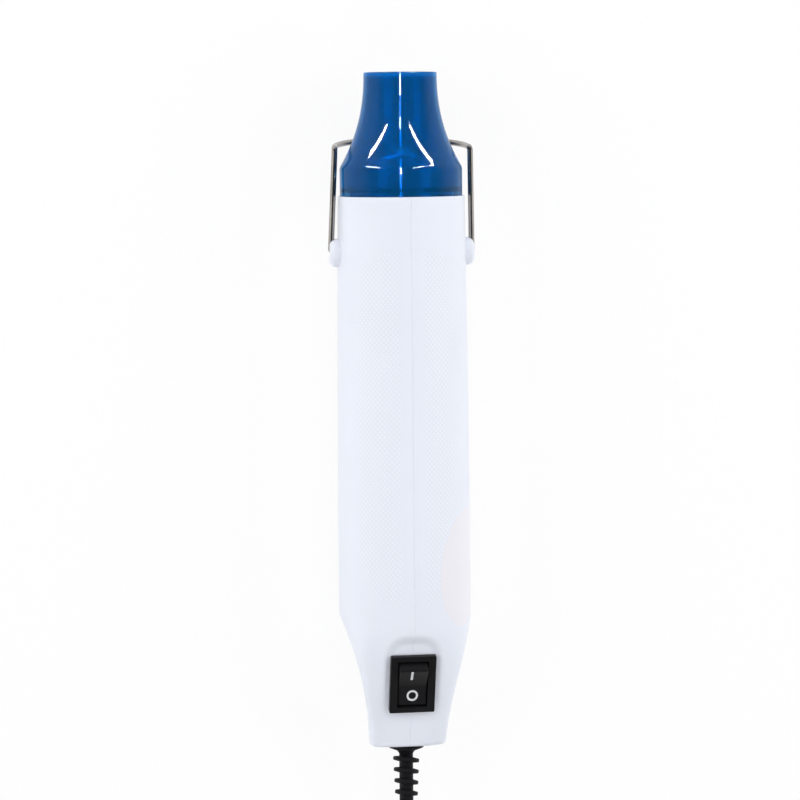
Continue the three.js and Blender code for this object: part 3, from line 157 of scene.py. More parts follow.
# Cap and barrel. The shoulder's bends are given by their shares of the way in and of the way up.
CAP_LENGTH = 41.6
SKIRT_LENGTH = 9.6
SKIRT_RADIUS = 20.8
RIM_RADIUS = 12.4
FLARE_SWEEP = 2.25
FLARE_STEPS = 40
CAP_WALL = 1.5
RIM_WALL = 1.2
SPIGOT_RADIUS = 19.1
SPIGOT_LENGTH = 6.9
SPIGOT_WALL = 1.7
SHOULDER_ROUNDING = 3.4
CAP_TOP = CASING_LENGTH + CAP_LENGTH
BARREL_RADIUS = 15.5
BARREL_WALL = 0.5
BARREL_FROM = 125.8
BARREL_SHOULDER = (200.7, 205)
SHOULDER_OUTSIDE = ((0.19, 0.35), (0.69, 0.67))
SHOULDER_INSIDE = ((0.75, 0.58), (0.27, 0.27))
OUTLET_RADIUS = 10.7
BARREL_TOP = CAP_TOP - 2
FLANGE = (18.6, 180.4, 181.2)

# Strain relief and lead
LEAD_RADIUS = 1.6
RELIEF_LENGTH = 37.5
RELIEF_BORE = 1.8
RELIEF_CORE = 2.4
RELIEF_NECK = (3.2, 2.5)
RELIEF_FLANGE = (5, 4.5)
COLLAR_RADIUS = 6.3
COLLAR_EDGE = 1.5
FUNNEL = (3.2, 2.7, 3.8)
RIB_COUNT = 8
RIB_FIRST = 6
RIB_PITCH = 3.9
RIB_RADIUS = 4.55
RIB_TAPER = 0.18
RIB_ROOT = (1.97, 1.05)
RIB_HALF_TIP = 0.62
RIB_TILT = math.radians(8.6)
RIB_LEAN = math.radians(12.7)

# Put-away coil and plug. A ring of the plug has its share of the length, width and thickness.
WIND_LAYERS = 4
WIND_TURNS = 2.75
WIND_MEAN_RADIUS = 19
WIND_PITCH = 3.7
WIND_AT = -107.5
WIND_START = math.radians(168)
WIND_CLIMB = 0.25
WIND_STEPS = 20
LEAD_CLEAR = 0.12
PLUG_AT = Vector((-11, -148, FLOOR + 6.5))
PLUG_SIZE = (24, 30, 13)
PLUG_NECK = (3.4, 8)
PLUG_RINGS = (
    (0, 0.46, 0.66), (0.06, 0.54, 0.74), (0.14, 0.68, 0.86), (0.3, 0.79, 0.96), (0.5, 0.86, 1),
    (0.62, 0.92, 1), (0.7, 0.98, 1), (0.85, 1, 1), (0.97, 1, 1), (1, 0.96, 0.94),
)
PLUG_SQUARENESS = 0.55
PLUG_GRIPS = 6
GRIP_FIRST = 0.34
GRIP_STEP = 2.2
GRIP_BOX = (1.1, 7, 0.45)
BLADE = (6.3, 1.5, 17)
BLADE_SPACING = 12.7
BLADE_HOLE = (12.5, 1.6)

# Bare label: centre and half sizes round and along the casing
LABEL_CENTRE = (20.9, 62.9)
LABEL_SIZE = (11.4, 20.1)
LABEL_TURN = math.radians(7.4)
LABEL_LIFT = 0.07
LABEL_FILM = 0.06

# Diamond grip: its lozenges, its two fields beside the seam, and how far their arched ends draw in
GRIP_PITCH = 1.6
GRIP_SLANT = 0.88
GRIP_TOP = 0.7
GRIP_SIDES = (3.75, 21.0)
GRIP_ENDS = (50.5, 171.0)
GRIP_ARCHES = (12.0, 9.0)
GRIP_ARCH_POWER = 2.4

SHARP_EDGE = math.radians(34)
CAP_SHARP_EDGE = math.radians(50)
WIRE_SHARP_EDGE = math.radians(60)


def blend(low, high, share):
    return low + (high - low) * share


def smooth(value, low, high):
    """An S curve from 0 at low to 1 at high."""
    share = min(1, max(0, (value - low) / (high - low)))
    return share * share * (3 - 2 * share)


def signed_power(value, power):
    return math.copysign(abs(value) ** power, value)


# Shader node groups and materials

class Shading:
    """Places and joins nodes in one node tree."""

    def __init__(self, tree):
        self.tree = tree

    def feed(self, node, values):
        """Links a node's inputs to sockets, or sets them to plain values."""
        for key, value in values.items():
            if isinstance(value, bpy.types.NodeSocket):
                self.tree.links.new(value, node.inputs[key])
            else:
                node.inputs[key].default_value = value
        return node

    def add(self, kind, values=None, **settings):
        node = self.tree.nodes.new(kind)
        for key, value in settings.items():
            setattr(node, key, value)
        return self.feed(node, values or {})

    def math(self, operation, a, b=0.0, c=0.0):
        return self.add("ShaderNodeMath", {0: a, 1: b, 2: c}, operation=operation).outputs[0]

    def mix(self, share, a, b):
        node = self.add("ShaderNodeMix", {"Factor": share, 6: a, 7: b}, data_type="RGBA")
        return node.outputs[2]

    def ramp(self, value, low, high, to_low=0.0, to_high=1.0):
        values = {"Value": value, "From Min": low, "From Max": high}
        values.update({"To Min": to_low, "To Max": to_high})
        node = self.add("ShaderNodeMapRange", values, interpolation_type="SMOOTHSTEP")
        return node.outputs["Result"]

    def noise(self, vector, scale, detail=3.0, roughness=0.55):
        values = {"Vector": vector, "Scale": scale, "Detail": detail, "Roughness": roughness}
        return self.add("ShaderNodeTexNoise", values).outputs["Fac"]

    def separate(self, vector):
        return self.add("ShaderNodeSeparateXYZ", {"Vector": vector}).outputs

    def group(self, tree, **values):
        """The outputs of a node group. Its input Grain Scale is written Grain_Scale here."""
        named = {key.replace("_", " "): value for key, value in values.items()}
        return self.add("ShaderNodeGroup", named, node_tree=tree).outputs


NO_PLACE = (0.0, 0.0, 0.0)
SOCKETS = {1: "NodeSocketFloat", 3: "NodeSocketVector", 4: "NodeSocketColor"}


def new_group(name, given, results):
    """An empty node group. An input's kind follows from its default: value, vector or colour."""
    tree = bpy.data.node_groups.new(name, "ShaderNodeTree")
    for key, default in given.items():
        kind = SOCKETS[1 if isinstance(default, float) else len(default)]
        socket = tree.interface.new_socket(name=key, in_out="INPUT", socket_type=kind)
        socket.default_value = default
    for key in results:
        kind = SOCKETS[4 if key == "Colour" else 1]
        tree.interface.new_socket(name=key, in_out="OUTPUT", socket_type=kind)
    shading = Shading(tree)
    source = shading.add("NodeGroupInput").outputs
    return tree, shading, source, shading.add("NodeGroupOutput")


def make_surface_grain():
    """Fine moulded grain: a height for bump and a roughness that drifts."""
    given = {"Vector": NO_PLACE, "Grain Scale": 3000.0, "Roughness": 0.4, "Roughness Spread": 0.08}
    tree, shading, source, result = new_group("surface_grain", given, ("Height", "Roughness"))
    fine = shading.noise(source["Vector"], source["Grain Scale"], 2.0)
    broad = shading.noise(source["Vector"], 60.0, 4.0)
    drift = shading.math("MULTIPLY_ADD", broad, 2.0, -1.0)
    rough = shading.math("MULTIPLY_ADD", drift, source["Roughness Spread"], source["Roughness"])
    shading.feed(result, {"Height": fine, "Roughness": rough})
    return tree


def make_colour_drift():
    """A colour that turns slightly towards another in broad soft patches."""
    given = {
        "Vector": NO_PLACE, "Colour": (0.8, 0.8, 0.8, 1), "Aged Colour": (0.7, 0.7, 0.7, 1),
        "Patch Scale": 30.0, "Amount": 0.3,
    }
    tree, shading, source, result = new_group("colour_drift", given, ("Colour",))
    patches = shading.noise(source["Vector"], source["Patch Scale"], 5.0, 0.6)
    share = shading.ramp(patches, 0.35, 0.7, 0.0, source["Amount"])
    shading.feed(result, {"Colour": shading.mix(share, source["Colour"], source["Aged Colour"])})
    return tree


def make_drawn_lines():
    """Fine lines along one direction, as on drawn wire, turned tube and rolled sheet."""
    given = {
        "Vector": NO_PLACE, "Stretch": (1.0, 1.0, 1.0), "Roughness": 0.25, "Roughness Spread": 0.12
    }
    tree, shading, source, result = new_group("drawn_lines", given, ("Height", "Roughness"))
    vectors = {0: source["Vector"], 1: source["Stretch"]}
    stretched = shading.add("ShaderNodeVectorMath", vectors, operation="MULTIPLY")
    lines = shading.noise(stretched.outputs["Vector"], 1.0, 4.0, 0.7)
    smudge = shading.noise(source["Vector"], 90.0, 3.0)
    drift = shading.math("SUBTRACT", shading.math("ADD", lines, smudge), 1.0)
    rough = shading.math("MULTIPLY_ADD", drift, source["Roughness Spread"], source["Roughness"])
    shading.feed(result, {"Height": lines, "Roughness": rough})
    return tree


def make_diamond_grip():
    """Pyramids in a lozenge grid, in two fields beside the seam. The vector is the casing's UV map,
    in millimetres round the casing from the seam and along it from the tail end."""
    tree, shading, source, result = new_group(
        "diamond_grip", {"Vector": NO_PLACE}, ("Height", "Field")
    )
    parts = shading.separate(source["Vector"])
    around, along = parts["X"], parts["Y"]
    slant = shading.math("MULTIPLY", along, GRIP_SLANT)
    waves = []
    for operation in ("ADD", "SUBTRACT"):
        cells = shading.math("DIVIDE", shading.math(operation, around, slant), GRIP_PITCH)
        waves.append(shading.math("PINGPONG", cells, 0.5))
    pyramid = shading.math("MULTIPLY", shading.math("MINIMUM", *waves), 2.0)
    pyramid = shading.math("MINIMUM", pyramid, GRIP_TOP)
    aside = shading.math("ABSOLUTE", around)
    near, far = GRIP_SIDES
    arch = shading.math("POWER", shading.math("DIVIDE", aside, far), GRIP_ARCH_POWER)
    foot = shading.math("MULTIPLY_ADD", arch, GRIP_ARCHES[0], GRIP_ENDS[0])
    top = shading.math("MULTIPLY_ADD", arch, -GRIP_ARCHES[1], GRIP_ENDS[1])
    inside = shading.math("SUBTRACT", aside, near)
    for edge in ((far, aside), (along, foot), (top, along)):
        inside = shading.math("MINIMUM", inside, shading.math("SUBTRACT", *edge))
    field = shading.ramp(inside, 0.0, 0.4)
    shading.feed(result, {"Height": shading.math("MULTIPLY", pyramid, field), "Field": field})
    return tree


surface_grain = make_surface_grain()
colour_drift = make_colour_drift()
drawn_lines = make_drawn_lines()
diamond_grip = make_diamond_grip()


def start_material(name):
    """A new material with its shader and the place on the surface."""
    material = bpy.data.materials.new(name)
    material.use_nodes = True
    shading = Shading(material.node_tree)
    where = shading.add("ShaderNodeTexCoord").outputs["Object"]
    return material, shading, material.node_tree.nodes["Principled BSDF"], where


def drifting(shading, where, colour, aged, amount, patch_scale=30.0):
    """A colour with soft patches of another."""
    return shading.group(
        colour_drift, Vector=where, Colour=(*colour, 1), Aged_Colour=(*aged, 1), Amount=amount,
        Patch_Scale=patch_scale,
    )["Colour"]


def grained(shading, where, scale, roughness, spread):
    """The height and the roughness of moulded grain."""
    made = shading.group(
        surface_grain, Vector=where, Grain_Scale=scale, Roughness=roughness,
        Roughness_Spread=spread,
    )
    return made["Height"], made["Roughness"]


def finish_shader(shading, shader, colour, rough, height, depth, plain):
    """Gives a shader its colour, roughness and bump, and its plain values."""
    values = {"Height": height, "Distance": depth * MM, "Strength": 1.0}
    bump = shading.add("ShaderNodeBump", values)
    values = {"Base Color": colour, "Roughness": rough, "Normal": bump.outputs["Normal"]}
    shading.feed(shader, values | plain)


def plastic(name, colour, aged, amount, roughness, spread, scale, depth, specular=0.5):
    """A moulded plastic or rubber with its own grain and colour drift."""
    material, shading, shader, where = start_material(name)
    tone = drifting(shading, where, colour, aged, amount)
    height, rough = grained(shading, where, scale, roughness, spread)
    finish_shader(shading, shader, tone, rough, height, depth, {"Specular IOR Level": specular})
    return material


def metal(name, colour, aged, amount, roughness, spread, stretch, depth):
    """A drawn, turned or rolled metal."""
    material, shading, shader, where = start_material(name)
    tone = drifting(shading, where, colour, aged, amount, 80.0)
    lines = shading.group(
        drawn_lines, Vector=where, Stretch=stretch, Roughness=roughness, Roughness_Spread=spread
    )
    rough, height = lines["Roughness"], lines["Height"]
    finish_shader(shading, shader, tone, rough, height, depth, {"Metallic": 1.0})
    return material


def casing_plastic():
    """White moulded casing with the diamond grip in its two fields: a painted highlight on the
    crests of the pyramids and painted shade in the hollows between them."""
    material, shading, shader, where = start_material("casing_plastic")
    uv = shading.add("ShaderNodeUVMap", uv_map="round_and_along")
    grip = shading.group(diamond_grip, Vector=uv.outputs["UV"])
    tone = drifting(shading, where, (0.80, 0.835, 0.92), (0.76, 0.79, 0.87), 0.35)
    grain, rough = grained(shading, where, 5200.0, 0.36, 0.05)
    # Painted highlight: the crests of the pyramids are mixed towards a paler colour.
    painted_top_highlight = shading.ramp(grip["Height"], 0.3, 0.7, 0.0, 0.55)
    # Painted shade: the hollows between the pyramids are mixed towards a darker colour.
    low = shading.ramp(grip["Height"], 0.0, 0.4)
    painted_groove_shade = shading.math("MAXIMUM", shading.math("SUBTRACT", grip["Field"], low), 0.0)
    tone = shading.mix(painted_top_highlight, tone, (0.88, 0.91, 0.985, 1))
    tone = shading.mix(shading.math("MULTIPLY", painted_groove_shade, 0.05), tone, (0.55, 0.58, 0.66, 1))
    height = shading.math("MULTIPLY_ADD", grain, 0.05, grip["Height"])
    finish_shader(shading, shader, tone, rough, height, 0.07, {})
    return material


def cap_plastic():
    """Clear plastic dyed deep blue, with a high gloss and a painted glow at the rim."""
    material, shading, shader, where = start_material("cap_plastic")
    tone = drifting(shading, where, (0.003, 0.16, 0.4), (0.004, 0.18, 0.44), 0.5)
    height, rough = grained(shading, where, 900.0, 0.045, 0.01)
    # Painted glow: over the last 2 mm before the rim the blue is mixed towards a paler blue.
    rim = TO_ROW.translation.y + CAP_TOP * MM
    along = shading.separate(where)["Y"]
    edge = shading.ramp(along, rim - 1.9 * MM, rim - 0.9 * MM, 0.0, 0.7)
    tone = shading.mix(edge, tone, (0.012, 0.3, 0.66, 1))
    plain = {"Transmission Weight": 0.74, "IOR": 1.28, "Specular IOR Level": 0.0}
    finish_shader(shading, shader, tone, rough, height, 0.004, plain)
    return material


# Plastics: colour, colour of the patches and their amount, roughness and its spread, scale and
# depth of the grain, and the specular level where it isn't 0.5
PLASTICS = {
    "switch_black":
        ((0.009, 0.009, 0.01), (0.013, 0.013, 0.014), 0.5, 0.4, 0.06, 4200.0, 0.02, 0.2),
    "moulded_black": ((0.01, 0.01, 0.011), (0.016, 0.016, 0.017), 0.5, 0.42, 0.08, 3600.0, 0.03),
    "rubber_black":
        ((0.009, 0.008, 0.01), (0.014, 0.013, 0.015), 0.6, 0.5, 0.09, 2600.0, 0.04, 0.15),
    "lead_jacket_black":
        ((0.008, 0.008, 0.009), (0.014, 0.014, 0.015), 0.5, 0.38, 0.07, 3000.0, 0.03, 0.45),
    "mark_off_white": ((0.72, 0.73, 0.75), (0.6, 0.6, 0.62), 0.4, 0.5, 0.05, 4000.0, 0.01),
    "label_white": ((0.835, 0.825, 0.88), (0.815, 0.805, 0.86), 0.4, 0.3, 0.03, 1800.0, 0.005),
    "duct_black": ((0.022, 0.023, 0.026), (0.04, 0.04, 0.044), 0.5, 0.5, 0.08, 2800.0, 0.03),
    "fan_ivory": ((0.68, 0.66, 0.58), (0.58, 0.55, 0.46), 0.5, 0.42, 0.06, 2600.0, 0.02),
    "board_green": ((0.035, 0.15, 0.055), (0.06, 0.19, 0.08), 0.5, 0.45, 0.08, 2000.0, 0.02),
    "wire_black": ((0.02, 0.02, 0.02), (0.04, 0.04, 0.04), 0.5, 0.4, 0.06, 3000.0, 0.02),
    "wire_red": ((0.33, 0.025, 0.016), (0.42, 0.05, 0.035), 0.5, 0.4, 0.06, 3000.0, 0.02),
    "wire_blue": ((0.022, 0.07, 0.24), (0.03, 0.1, 0.3), 0.5, 0.4, 0.06, 3000.0, 0.02),
    "mica_sheet": ((0.58, 0.52, 0.38), (0.42, 0.36, 0.24), 0.8, 0.42, 0.12, 700.0, 0.05),
}

# Metals: the same as far as the roughness, then the stretch of the lines and their depth
ALONG_WIRE = (9000.0, 260.0, 9000.0)
ROUND_TUBE = (900.0, 9000.0, 900.0)
NO_WAY = (2000.0, 2000.0, 2000.0)
ALONG_BLADE = (9000.0, 400.0, 9000.0)
METALS = {
    "stand_wire": ((0.42, 0.40, 0.375), (0.3, 0.275, 0.25), 0.6, 0.24, 0.1, ALONG_WIRE, 0.006),
    "drawn_steel": ((0.56, 0.56, 0.555), (0.44, 0.43, 0.42), 0.5, 0.28, 0.12, ROUND_TUBE, 0.006),
    "barrel_steel": ((0.56, 0.56, 0.555), (0.44, 0.43, 0.42), 0.5, 0.1, 0.06, ROUND_TUBE, 0.004),
    "heating_wire": ((0.4, 0.37, 0.35), (0.24, 0.2, 0.19), 0.8, 0.42, 0.12, NO_WAY, 0.008),
    "brass_blade": ((0.72, 0.52, 0.23), (0.58, 0.38, 0.16), 0.5, 0.26, 0.1, ALONG_BLADE, 0.006),
}

looks = {"casing_plastic": casing_plastic(), "cap_plastic": cap_plastic()}
looks.update({name: plastic(name, *values) for name, values in PLASTICS.items()})
looks.update({name: metal(name, *values) for name, values in METALS.items()})

INNER_PIECES = {
    "lead_jacket_black": ("cord_inner",),
    "wire_black": ("wire_live",),
    "wire_blue": ("wire_neutral",),
    "wire_red": ("wire_switched", "heater_wire_right", "heater_wire_left"),
    "board_green": ("rectifier_board",),
    "moulded_black": ("diode_1", "diode_2", "diode_3", "diode_4", "clamp_bar"),
    "duct_black": ("fan_duct",),
    "fan_ivory": ("motor_end_cap", "fan_impeller"),
    "mica_sheet": ("mica_liner", "mica_plate_level", "mica_plate_upright"),
    "heating_wire": ("heater_coil",),
    "brass_blade": (
        "motor_terminal_left", "motor_terminal_right", "switch_terminal_1", "switch_terminal_2",
    ),
    "drawn_steel": (
        "motor_can", "motor_shaft", "thermal_cutout", "clamp_screw_1", "clamp_screw_2",
        "casing_screw_1", "casing_screw_2", "casing_screw_3", "casing_screw_4",
    ),
}
for look, nodes in INNER_PIECES.items():
    for node in nodes:
        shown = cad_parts[node]
        shown.data.materials.clear()
        shown.data.materials.append(looks[look])


# Mesh helpers: each makes a bmesh in millimetres of the tool's frame

def rounded(profile, radius, steps=4, closed=False):
    """A line of 2D points with its corners turned into arcs, but not past half of a side."""
    count = len(profile)
    points = []
    for i, corner in enumerate(profile):
        here = Vector(corner)
        if not closed and i in (0, count - 1):
            points.append(here)
            continue
        before = Vector(profile[i - 1]) - here
        after = Vector(profile[(i + 1) % count]) - here
        bend = before.angle(after)
        reach = min(radius / math.tan(bend / 2), before.length / 2.05, after.length / 2.05)
        if bend > math.radians(170) or reach < 1e-4:
            points.append(here)
            continue
        start, end = here + before.normalized() * reach, here + after.normalized() * reach
        for k in range(steps + 1):
            t = k / steps
            points.append(start * (1 - t) ** 2 + here * 2 * t * (1 - t) + end * t * t)
    return points


def spun(bm, points, axis, steps, closed):
    """Turns a line of 3D points about an axis through the origin, into a bmesh."""
    verts = [bm.verts.new(point) for point in points]
    pairs = zip(verts, verts[1:] + verts[:1]) if closed else zip(verts, verts[1:])
    edges = [bm.edges.new(pair) for pair in pairs]
    bmesh.ops.spin(
        bm, geom=verts + edges, cent=(0, 0, 0), axis=axis, angle=2 * math.pi, steps=steps,
        use_merge=True,
    )
    bmesh.ops.remove_doubles(bm, verts=bm.verts, dist=1e-4)


def turned(profile, steps=96, closed=True):
    """A body turned about the tool's axis from [radius, place along the axis] points."""
    bm = bmesh.new()
    spun(bm, [(radius, along, 0) for radius, along in profile], (0, 1, 0), steps, closed)
    bmesh.ops.recalc_face_normals(bm, faces=bm.faces)
    return bm


def prism(outline, low, high):
    """A solid between two heights over an outline of (x, along)."""
    bm = bmesh.new()
    face = bm.faces.new([bm.verts.new((x, along, low)) for x, along in outline])
    for item in bmesh.ops.extrude_face_region(bm, geom=[face])["geom"]:
        if isinstance(item, bmesh.types.BMVert):
            item.co.z = high
    bmesh.ops.recalc_face_normals(bm, faces=bm.faces)
    return bm


def moved(bm, matrix):
    bmesh.ops.transform(bm, matrix=matrix, verts=bm.verts)
    return bm


def rod(start, end, radius, steps=32, end_radius=None):
    """A round rod or cone between two points."""
    bm = bmesh.new()
    start, end = Vector(start), Vector(end)
    axis = end - start
    bmesh.ops.create_cone(
        bm, cap_ends=True, segments=steps, radius1=radius, radius2=end_radius or radius,
        depth=axis.length,
    )
    turn = axis.to_track_quat("Z", "Y").to_matrix().to_4x4()
    return moved(bm, Matrix.Translation((start + end) / 2) @ turn)


def box_between(low, high):
    bm = bmesh.new()
    bmesh.ops.create_cube(bm, size=1)
    size = [b - a for a, b in zip(low, high)]
    middle = [(a + b) / 2 for a, b in zip(low, high)]
    return moved(bm, Matrix.Translation(middle) @ Matrix.Diagonal((*size, 1)))


def merged(*parts):
    """Several bmeshes as one."""
    bm = bmesh.new()
    for part in parts:
        mesh = bpy.data.meshes.new("part")
        part.to_mesh(mesh)
        part.free()
        bm.from_mesh(mesh)
        bpy.data.meshes.remove(mesh)
    return bm


def on_circle(centre, radius, angle):
    return centre[0] + radius * math.cos(angle), centre[1] + radius * math.sin(angle)


def arc(centre, radius, start, end, steps):
    """Points of an arc, by its angles in degrees."""
    angles = [math.radians(blend(start, end, k / steps)) for k in range(steps + 1)]
    return [on_circle(centre, radius, angle) for angle in angles]


def rounded_rectangle(width, length, radius, centre=(0, 0), steps=6):
    x, y = width / 2 - radius, length / 2 - radius
    outline = []
    for (sx, sy), start in zip(((1, 1), (-1, 1), (-1, -1), (1, -1)), (0, 90, 180, 270)):
        corner = (centre[0] + sx * x, centre[1] + sy * y)
        outline += arc(corner, radius, start, start + 90, steps)
    return outline


def side_frame(along, height):
    """Places an outline drawn in the plane of Y and Z, and extruded along X."""
    return Matrix(((0, 0, 1, 0), (1, 0, 0, along), (0, 1, 0, height), (0, 0, 0, 1)))


def add_object(name, data):
    obj = bpy.data.objects.new(name, data)
    bpy.context.scene.collection.objects.link(obj)
    return obj


def shade(mesh, sharp=SHARP_EDGE):
    """Smooth shading that keeps the edges sharper than an angle."""
    mesh.shade_smooth()
    mesh.set_sharp_from_angle(angle=sharp)


def place_mesh(bm, name, material, sharp=SHARP_EDGE):
    """A bmesh as a finished object, with its place in its mesh."""
    mesh = bpy.data.meshes.new(name)
    moved(bm, TO_ROW).to_mesh(mesh)
    bm.free()
    shade(mesh, sharp)
    mesh.materials.append(material)
    return add_object(name, mesh)


def settle(obj):
    """Works an object's modifiers into its mesh."""
    graph = bpy.context.evaluated_depsgraph_get()
    mesh = bpy.data.meshes.new_from_object(obj.evaluated_get(graph))
    obj.modifiers.clear()
    old, obj.data = obj.data, mesh
    bpy.data.meshes.remove(old)
    mesh.name = obj.name
    shade(mesh)


def modify(obj, kind, **settings):
    """Puts an object's mesh through one modifier."""
    step = obj.modifiers.new("step", kind)
    for key, value in settings.items():
        setattr(step, key, value)
    settle(obj)


def combine(obj, cutter_bm, operation):
    """Adds a solid to an object, or cuts it away."""
    cutter = place_mesh(cutter_bm, "cutter", obj.data.materials[0])
    modify(obj, "BOOLEAN", operation=operation, solver="EXACT", object=cutter)
    bpy.data.objects.remove(cutter, do_unlink=True)


def thicken(obj, thickness):
    """Gives a sheet its thickness, inwards."""
    modify(obj, "SOLIDIFY", thickness=thickness * MM, offset=-1)


def round_edges(obj, width, segments=2, angle=40):
    """Rounds an object's sharp edges."""
    modify(
        obj, "BEVEL", width=width * MM, segments=segments, limit_method="ANGLE",
        angle_limit=math.radians(angle), use_clamp_overlap=True,
    )


# Camera

CAMERA_AT = Vector((-0.1492, 0.1179, 1.0))
CAMERA_AIM = Vector((-0.001, 0.0225, AXIS_HEIGHT))
CAMERA_ROLL = math.radians(-0.524)
CAMERA_LENS = 131


def add_camera():
    data = bpy.data.cameras.new("camera")
    data.lens = CAMERA_LENS
    data.sensor_width = 36
    camera = add_object("camera", data)
    ahead = (CAMERA_AIM - CAMERA_AT).normalized()
    right = ahead.cross(Vector((0, 1, 0))).normalized()
    up = right.cross(ahead)
    turn = Matrix((right, up, -ahead)).transposed() @ Matrix.Rotation(CAMERA_ROLL, 3, "Z")
    camera.matrix_world = Matrix.Translation(CAMERA_AT) @ turn.to_4x4()
    bpy.context.scene.camera = camera


add_camera()


# Mains lead: from the relief down to the floor, round the put-away coil and into the plug

def wound_points():
    """The coil's centre line, from its start on the floor to its end on top."""
    outer = WIND_MEAN_RADIUS + WIND_PITCH * WIND_TURNS / 2
    points = []
    for i in range(int(WIND_LAYERS * WIND_TURNS * WIND_STEPS) + 1):
        turns = i / WIND_STEPS
        layer = min(int(turns / WIND_TURNS), WIND_LAYERS - 1)
        in_layer = turns - layer * WIND_TURNS
        inward = WIND_TURNS - in_layer if layer % 2 else in_layer
        reversal = math.floor(turns / WIND_TURNS + 0.5)
        climbed = smooth(turns - reversal * WIND_TURNS, -WIND_CLIMB, WIND_CLIMB)
        level = min(WIND_LAYERS - 1, max(0, reversal - 1 + climbed))
        angle = WIND_START + 2 * math.pi * turns
        x, y = on_circle((0, WIND_AT), outer - WIND_PITCH * inward, angle)
        points.append(Vector((x, y, FLOOR + LEAD_RADIUS + WIND_PITCH * level)))
    return points


def heading(start, end):
    return Vector((end.x - start.x, end.y - start.y, 0)).normalized()


def start_tube(name, kind, count, radius, resolution):
    """A curve that is a round tube with closed ends, its spline, and the points of that spline."""
    curve = bpy.data.curves.new(name, "CURVE")
    curve.dimensions = "3D"
    curve.bevel_depth = radius * MM
    curve.bevel_resolution = resolution
    curve.use_fill_caps = True
    spline = curve.splines.new(kind)
    points = spline.bezier_points if kind == "BEZIER" else spline.points
    points.add(count - 1)
    return curve, spline, points


def add_lead():
    turns = wound_points()
    ahead, onward = heading(turns[0], turns[1]), heading(turns[-2], turns[-1])
    low, top = FLOOR + LEAD_RADIUS + LEAD_CLEAR, turns[-1].z
    entry = PLUG_AT - Vector((PLUG_NECK[1] + RUNNING_GAP, 0, 0))
    route = [
        (0, -RELIEF_LENGTH - RUNNING_GAP, 0), (0, -42.5, 0), (0, -48, -0.4), (-1.6, -57.5, -3.9),
        (-5.6, -67, -10.2), (-11.2, -76.5, -16.2), (-16.6, -85, low + 0.3),
        turns[0] - ahead * 9.5, turns[0] - ahead * 3.5, *turns,
        turns[-1] + onward * 3.5, turns[-1] + onward * 8.5,
        (-27.4, -120, top - 1), (-29, -129, top - 2.9), (-29.3, -137, entry.z + 1),
        (-27.6, -144, entry.z + 0.2), entry - Vector((4, 0, 0)), entry,
    ]
    route = [Vector((x, y, max(z, low))) for x, y, z in route]
    curve, spline, knots = start_tube("mains_lead", "BEZIER", len(route), LEAD_RADIUS, 5)
    for knot, point in zip(knots, route):
        knot.co = TO_ROW @ point
        knot.handle_left_type = knot.handle_right_type = "AUTO"
    spline.resolution_u = 4
    curve.materials.append(looks["lead_jacket_black"])
    lead = add_object("mains_lead", curve)
    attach(lead, "tool")
    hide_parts("cord_lead", "cord_coil", "cord_tail")
    return lead, route[0]


lead, lead_exit = add_lead()


# Casing form: half width, front and back of the section at a place along the axis

def tail_share(along):
    return min(1, max(0, along) / CREASE_AT)


def mouth_share(along):
    return max(0, along - WIDEST_AT) / (CASING_LENGTH - WIDEST_AT)


def half_width_at(along):
    if along < CREASE_AT:
        return blend(TAIL_HALF_WIDTH, HALF_WIDTH, tail_share(along) ** TAIL_SIDE_SWEEP)
    return HALF_WIDTH - (HALF_WIDTH - MOUTH_HALF_WIDTH) * mouth_share(along) ** 2


def front_at(along):
    body = half_width_at(max(along, CREASE_AT)) - FRONT_SHORTFALL
    slope = TAIL_FRONT + TAIL_SLOPE * along
    return (body + slope - math.hypot(body - slope, 2 * CREASE_BLEND)) / 2


def back_at(along):
    return blend(TAIL_BACK, BACK_DEPTH, tail_share(along) ** TAIL_BACK_SWEEP)


def widest_height_at(along):
    share = tail_share(along) ** TAIL_SHOULDER_SWEEP
    shoulder = blend(TAIL_SHOULDER, front_at(CREASE_AT), share)
    return front_at(along) - shoulder if share < 1 else 0


def power_at(along, tail_power):
    """The squareness of the section's front or back."""
    body = blend(BODY_POWER, MOUTH_POWER, mouth_share(along))
    return blend(tail_power, body, tail_share(along))


def back_form(along, inset=0.0):
    """The section's half width and the height where it is widest, then the power of its back, the
    back's depth from there, and the angle at which its flat starts."""
    power = power_at(along, TAIL_BACK_POWER)
    half = half_width_at(along) - inset
    middle = widest_height_at(along)
    flat_angle = math.acos((BACK_FLAT / 2 / half) ** (power / 2))
    depth = (back_at(along) - inset + middle) / math.sin(flat_angle) ** (2 / power)
    return half, middle, power, depth, flat_angle


def half_section(along, inset=0.0):
    """The right half's section at one place, as (x, height) points from the back seam to the front
    seam. The last columns at each seam dip a little, for the groove between the halves."""
    half, middle, power, depth, flat_angle = back_form(along, inset)
    low = middle - depth * math.sin(flat_angle) ** (2 / power)
    last_x = SEAM_COLUMNS[-1][0]
    points = [(x, low + dip) for x, dip in SEAM_COLUMNS]
    for i in range(1, FLAT_COLUMNS):
        points.append((blend(last_x, BACK_FLAT / 2, i / FLAT_COLUMNS), low))
    for i in range(BACK_COLUMNS + 1):
        angle = flat_angle * (1 - i / BACK_COLUMNS)
        x = half * math.cos(angle) ** (2 / power)
        points.append((x, middle - depth * math.sin(angle) ** (2 / power)))
    power = power_at(along, TAIL_FRONT_POWER)
    front = front_at(along) - inset - middle
    last_angle = math.acos((last_x / half) ** (power / 2))
    for i in range(1, FRONT_COLUMNS + 1):
        angle = last_angle * i / FRONT_COLUMNS
        x = half * math.cos(angle) ** (2 / power)
        points.append((x, middle + front * math.sin(angle) ** (2 / power)))
    for x, dip in reversed(SEAM_COLUMNS[:-1]):
        points.append((x, middle + front - dip))
    return points


def side_reach(along, height):
    """How far the casing's side stands from the seam plane, at a height on its back half."""
    half, middle, power, depth, _ = back_form(along)
    return half * (1 - min(1, (middle - height) / depth) ** power) ** (1 / power)


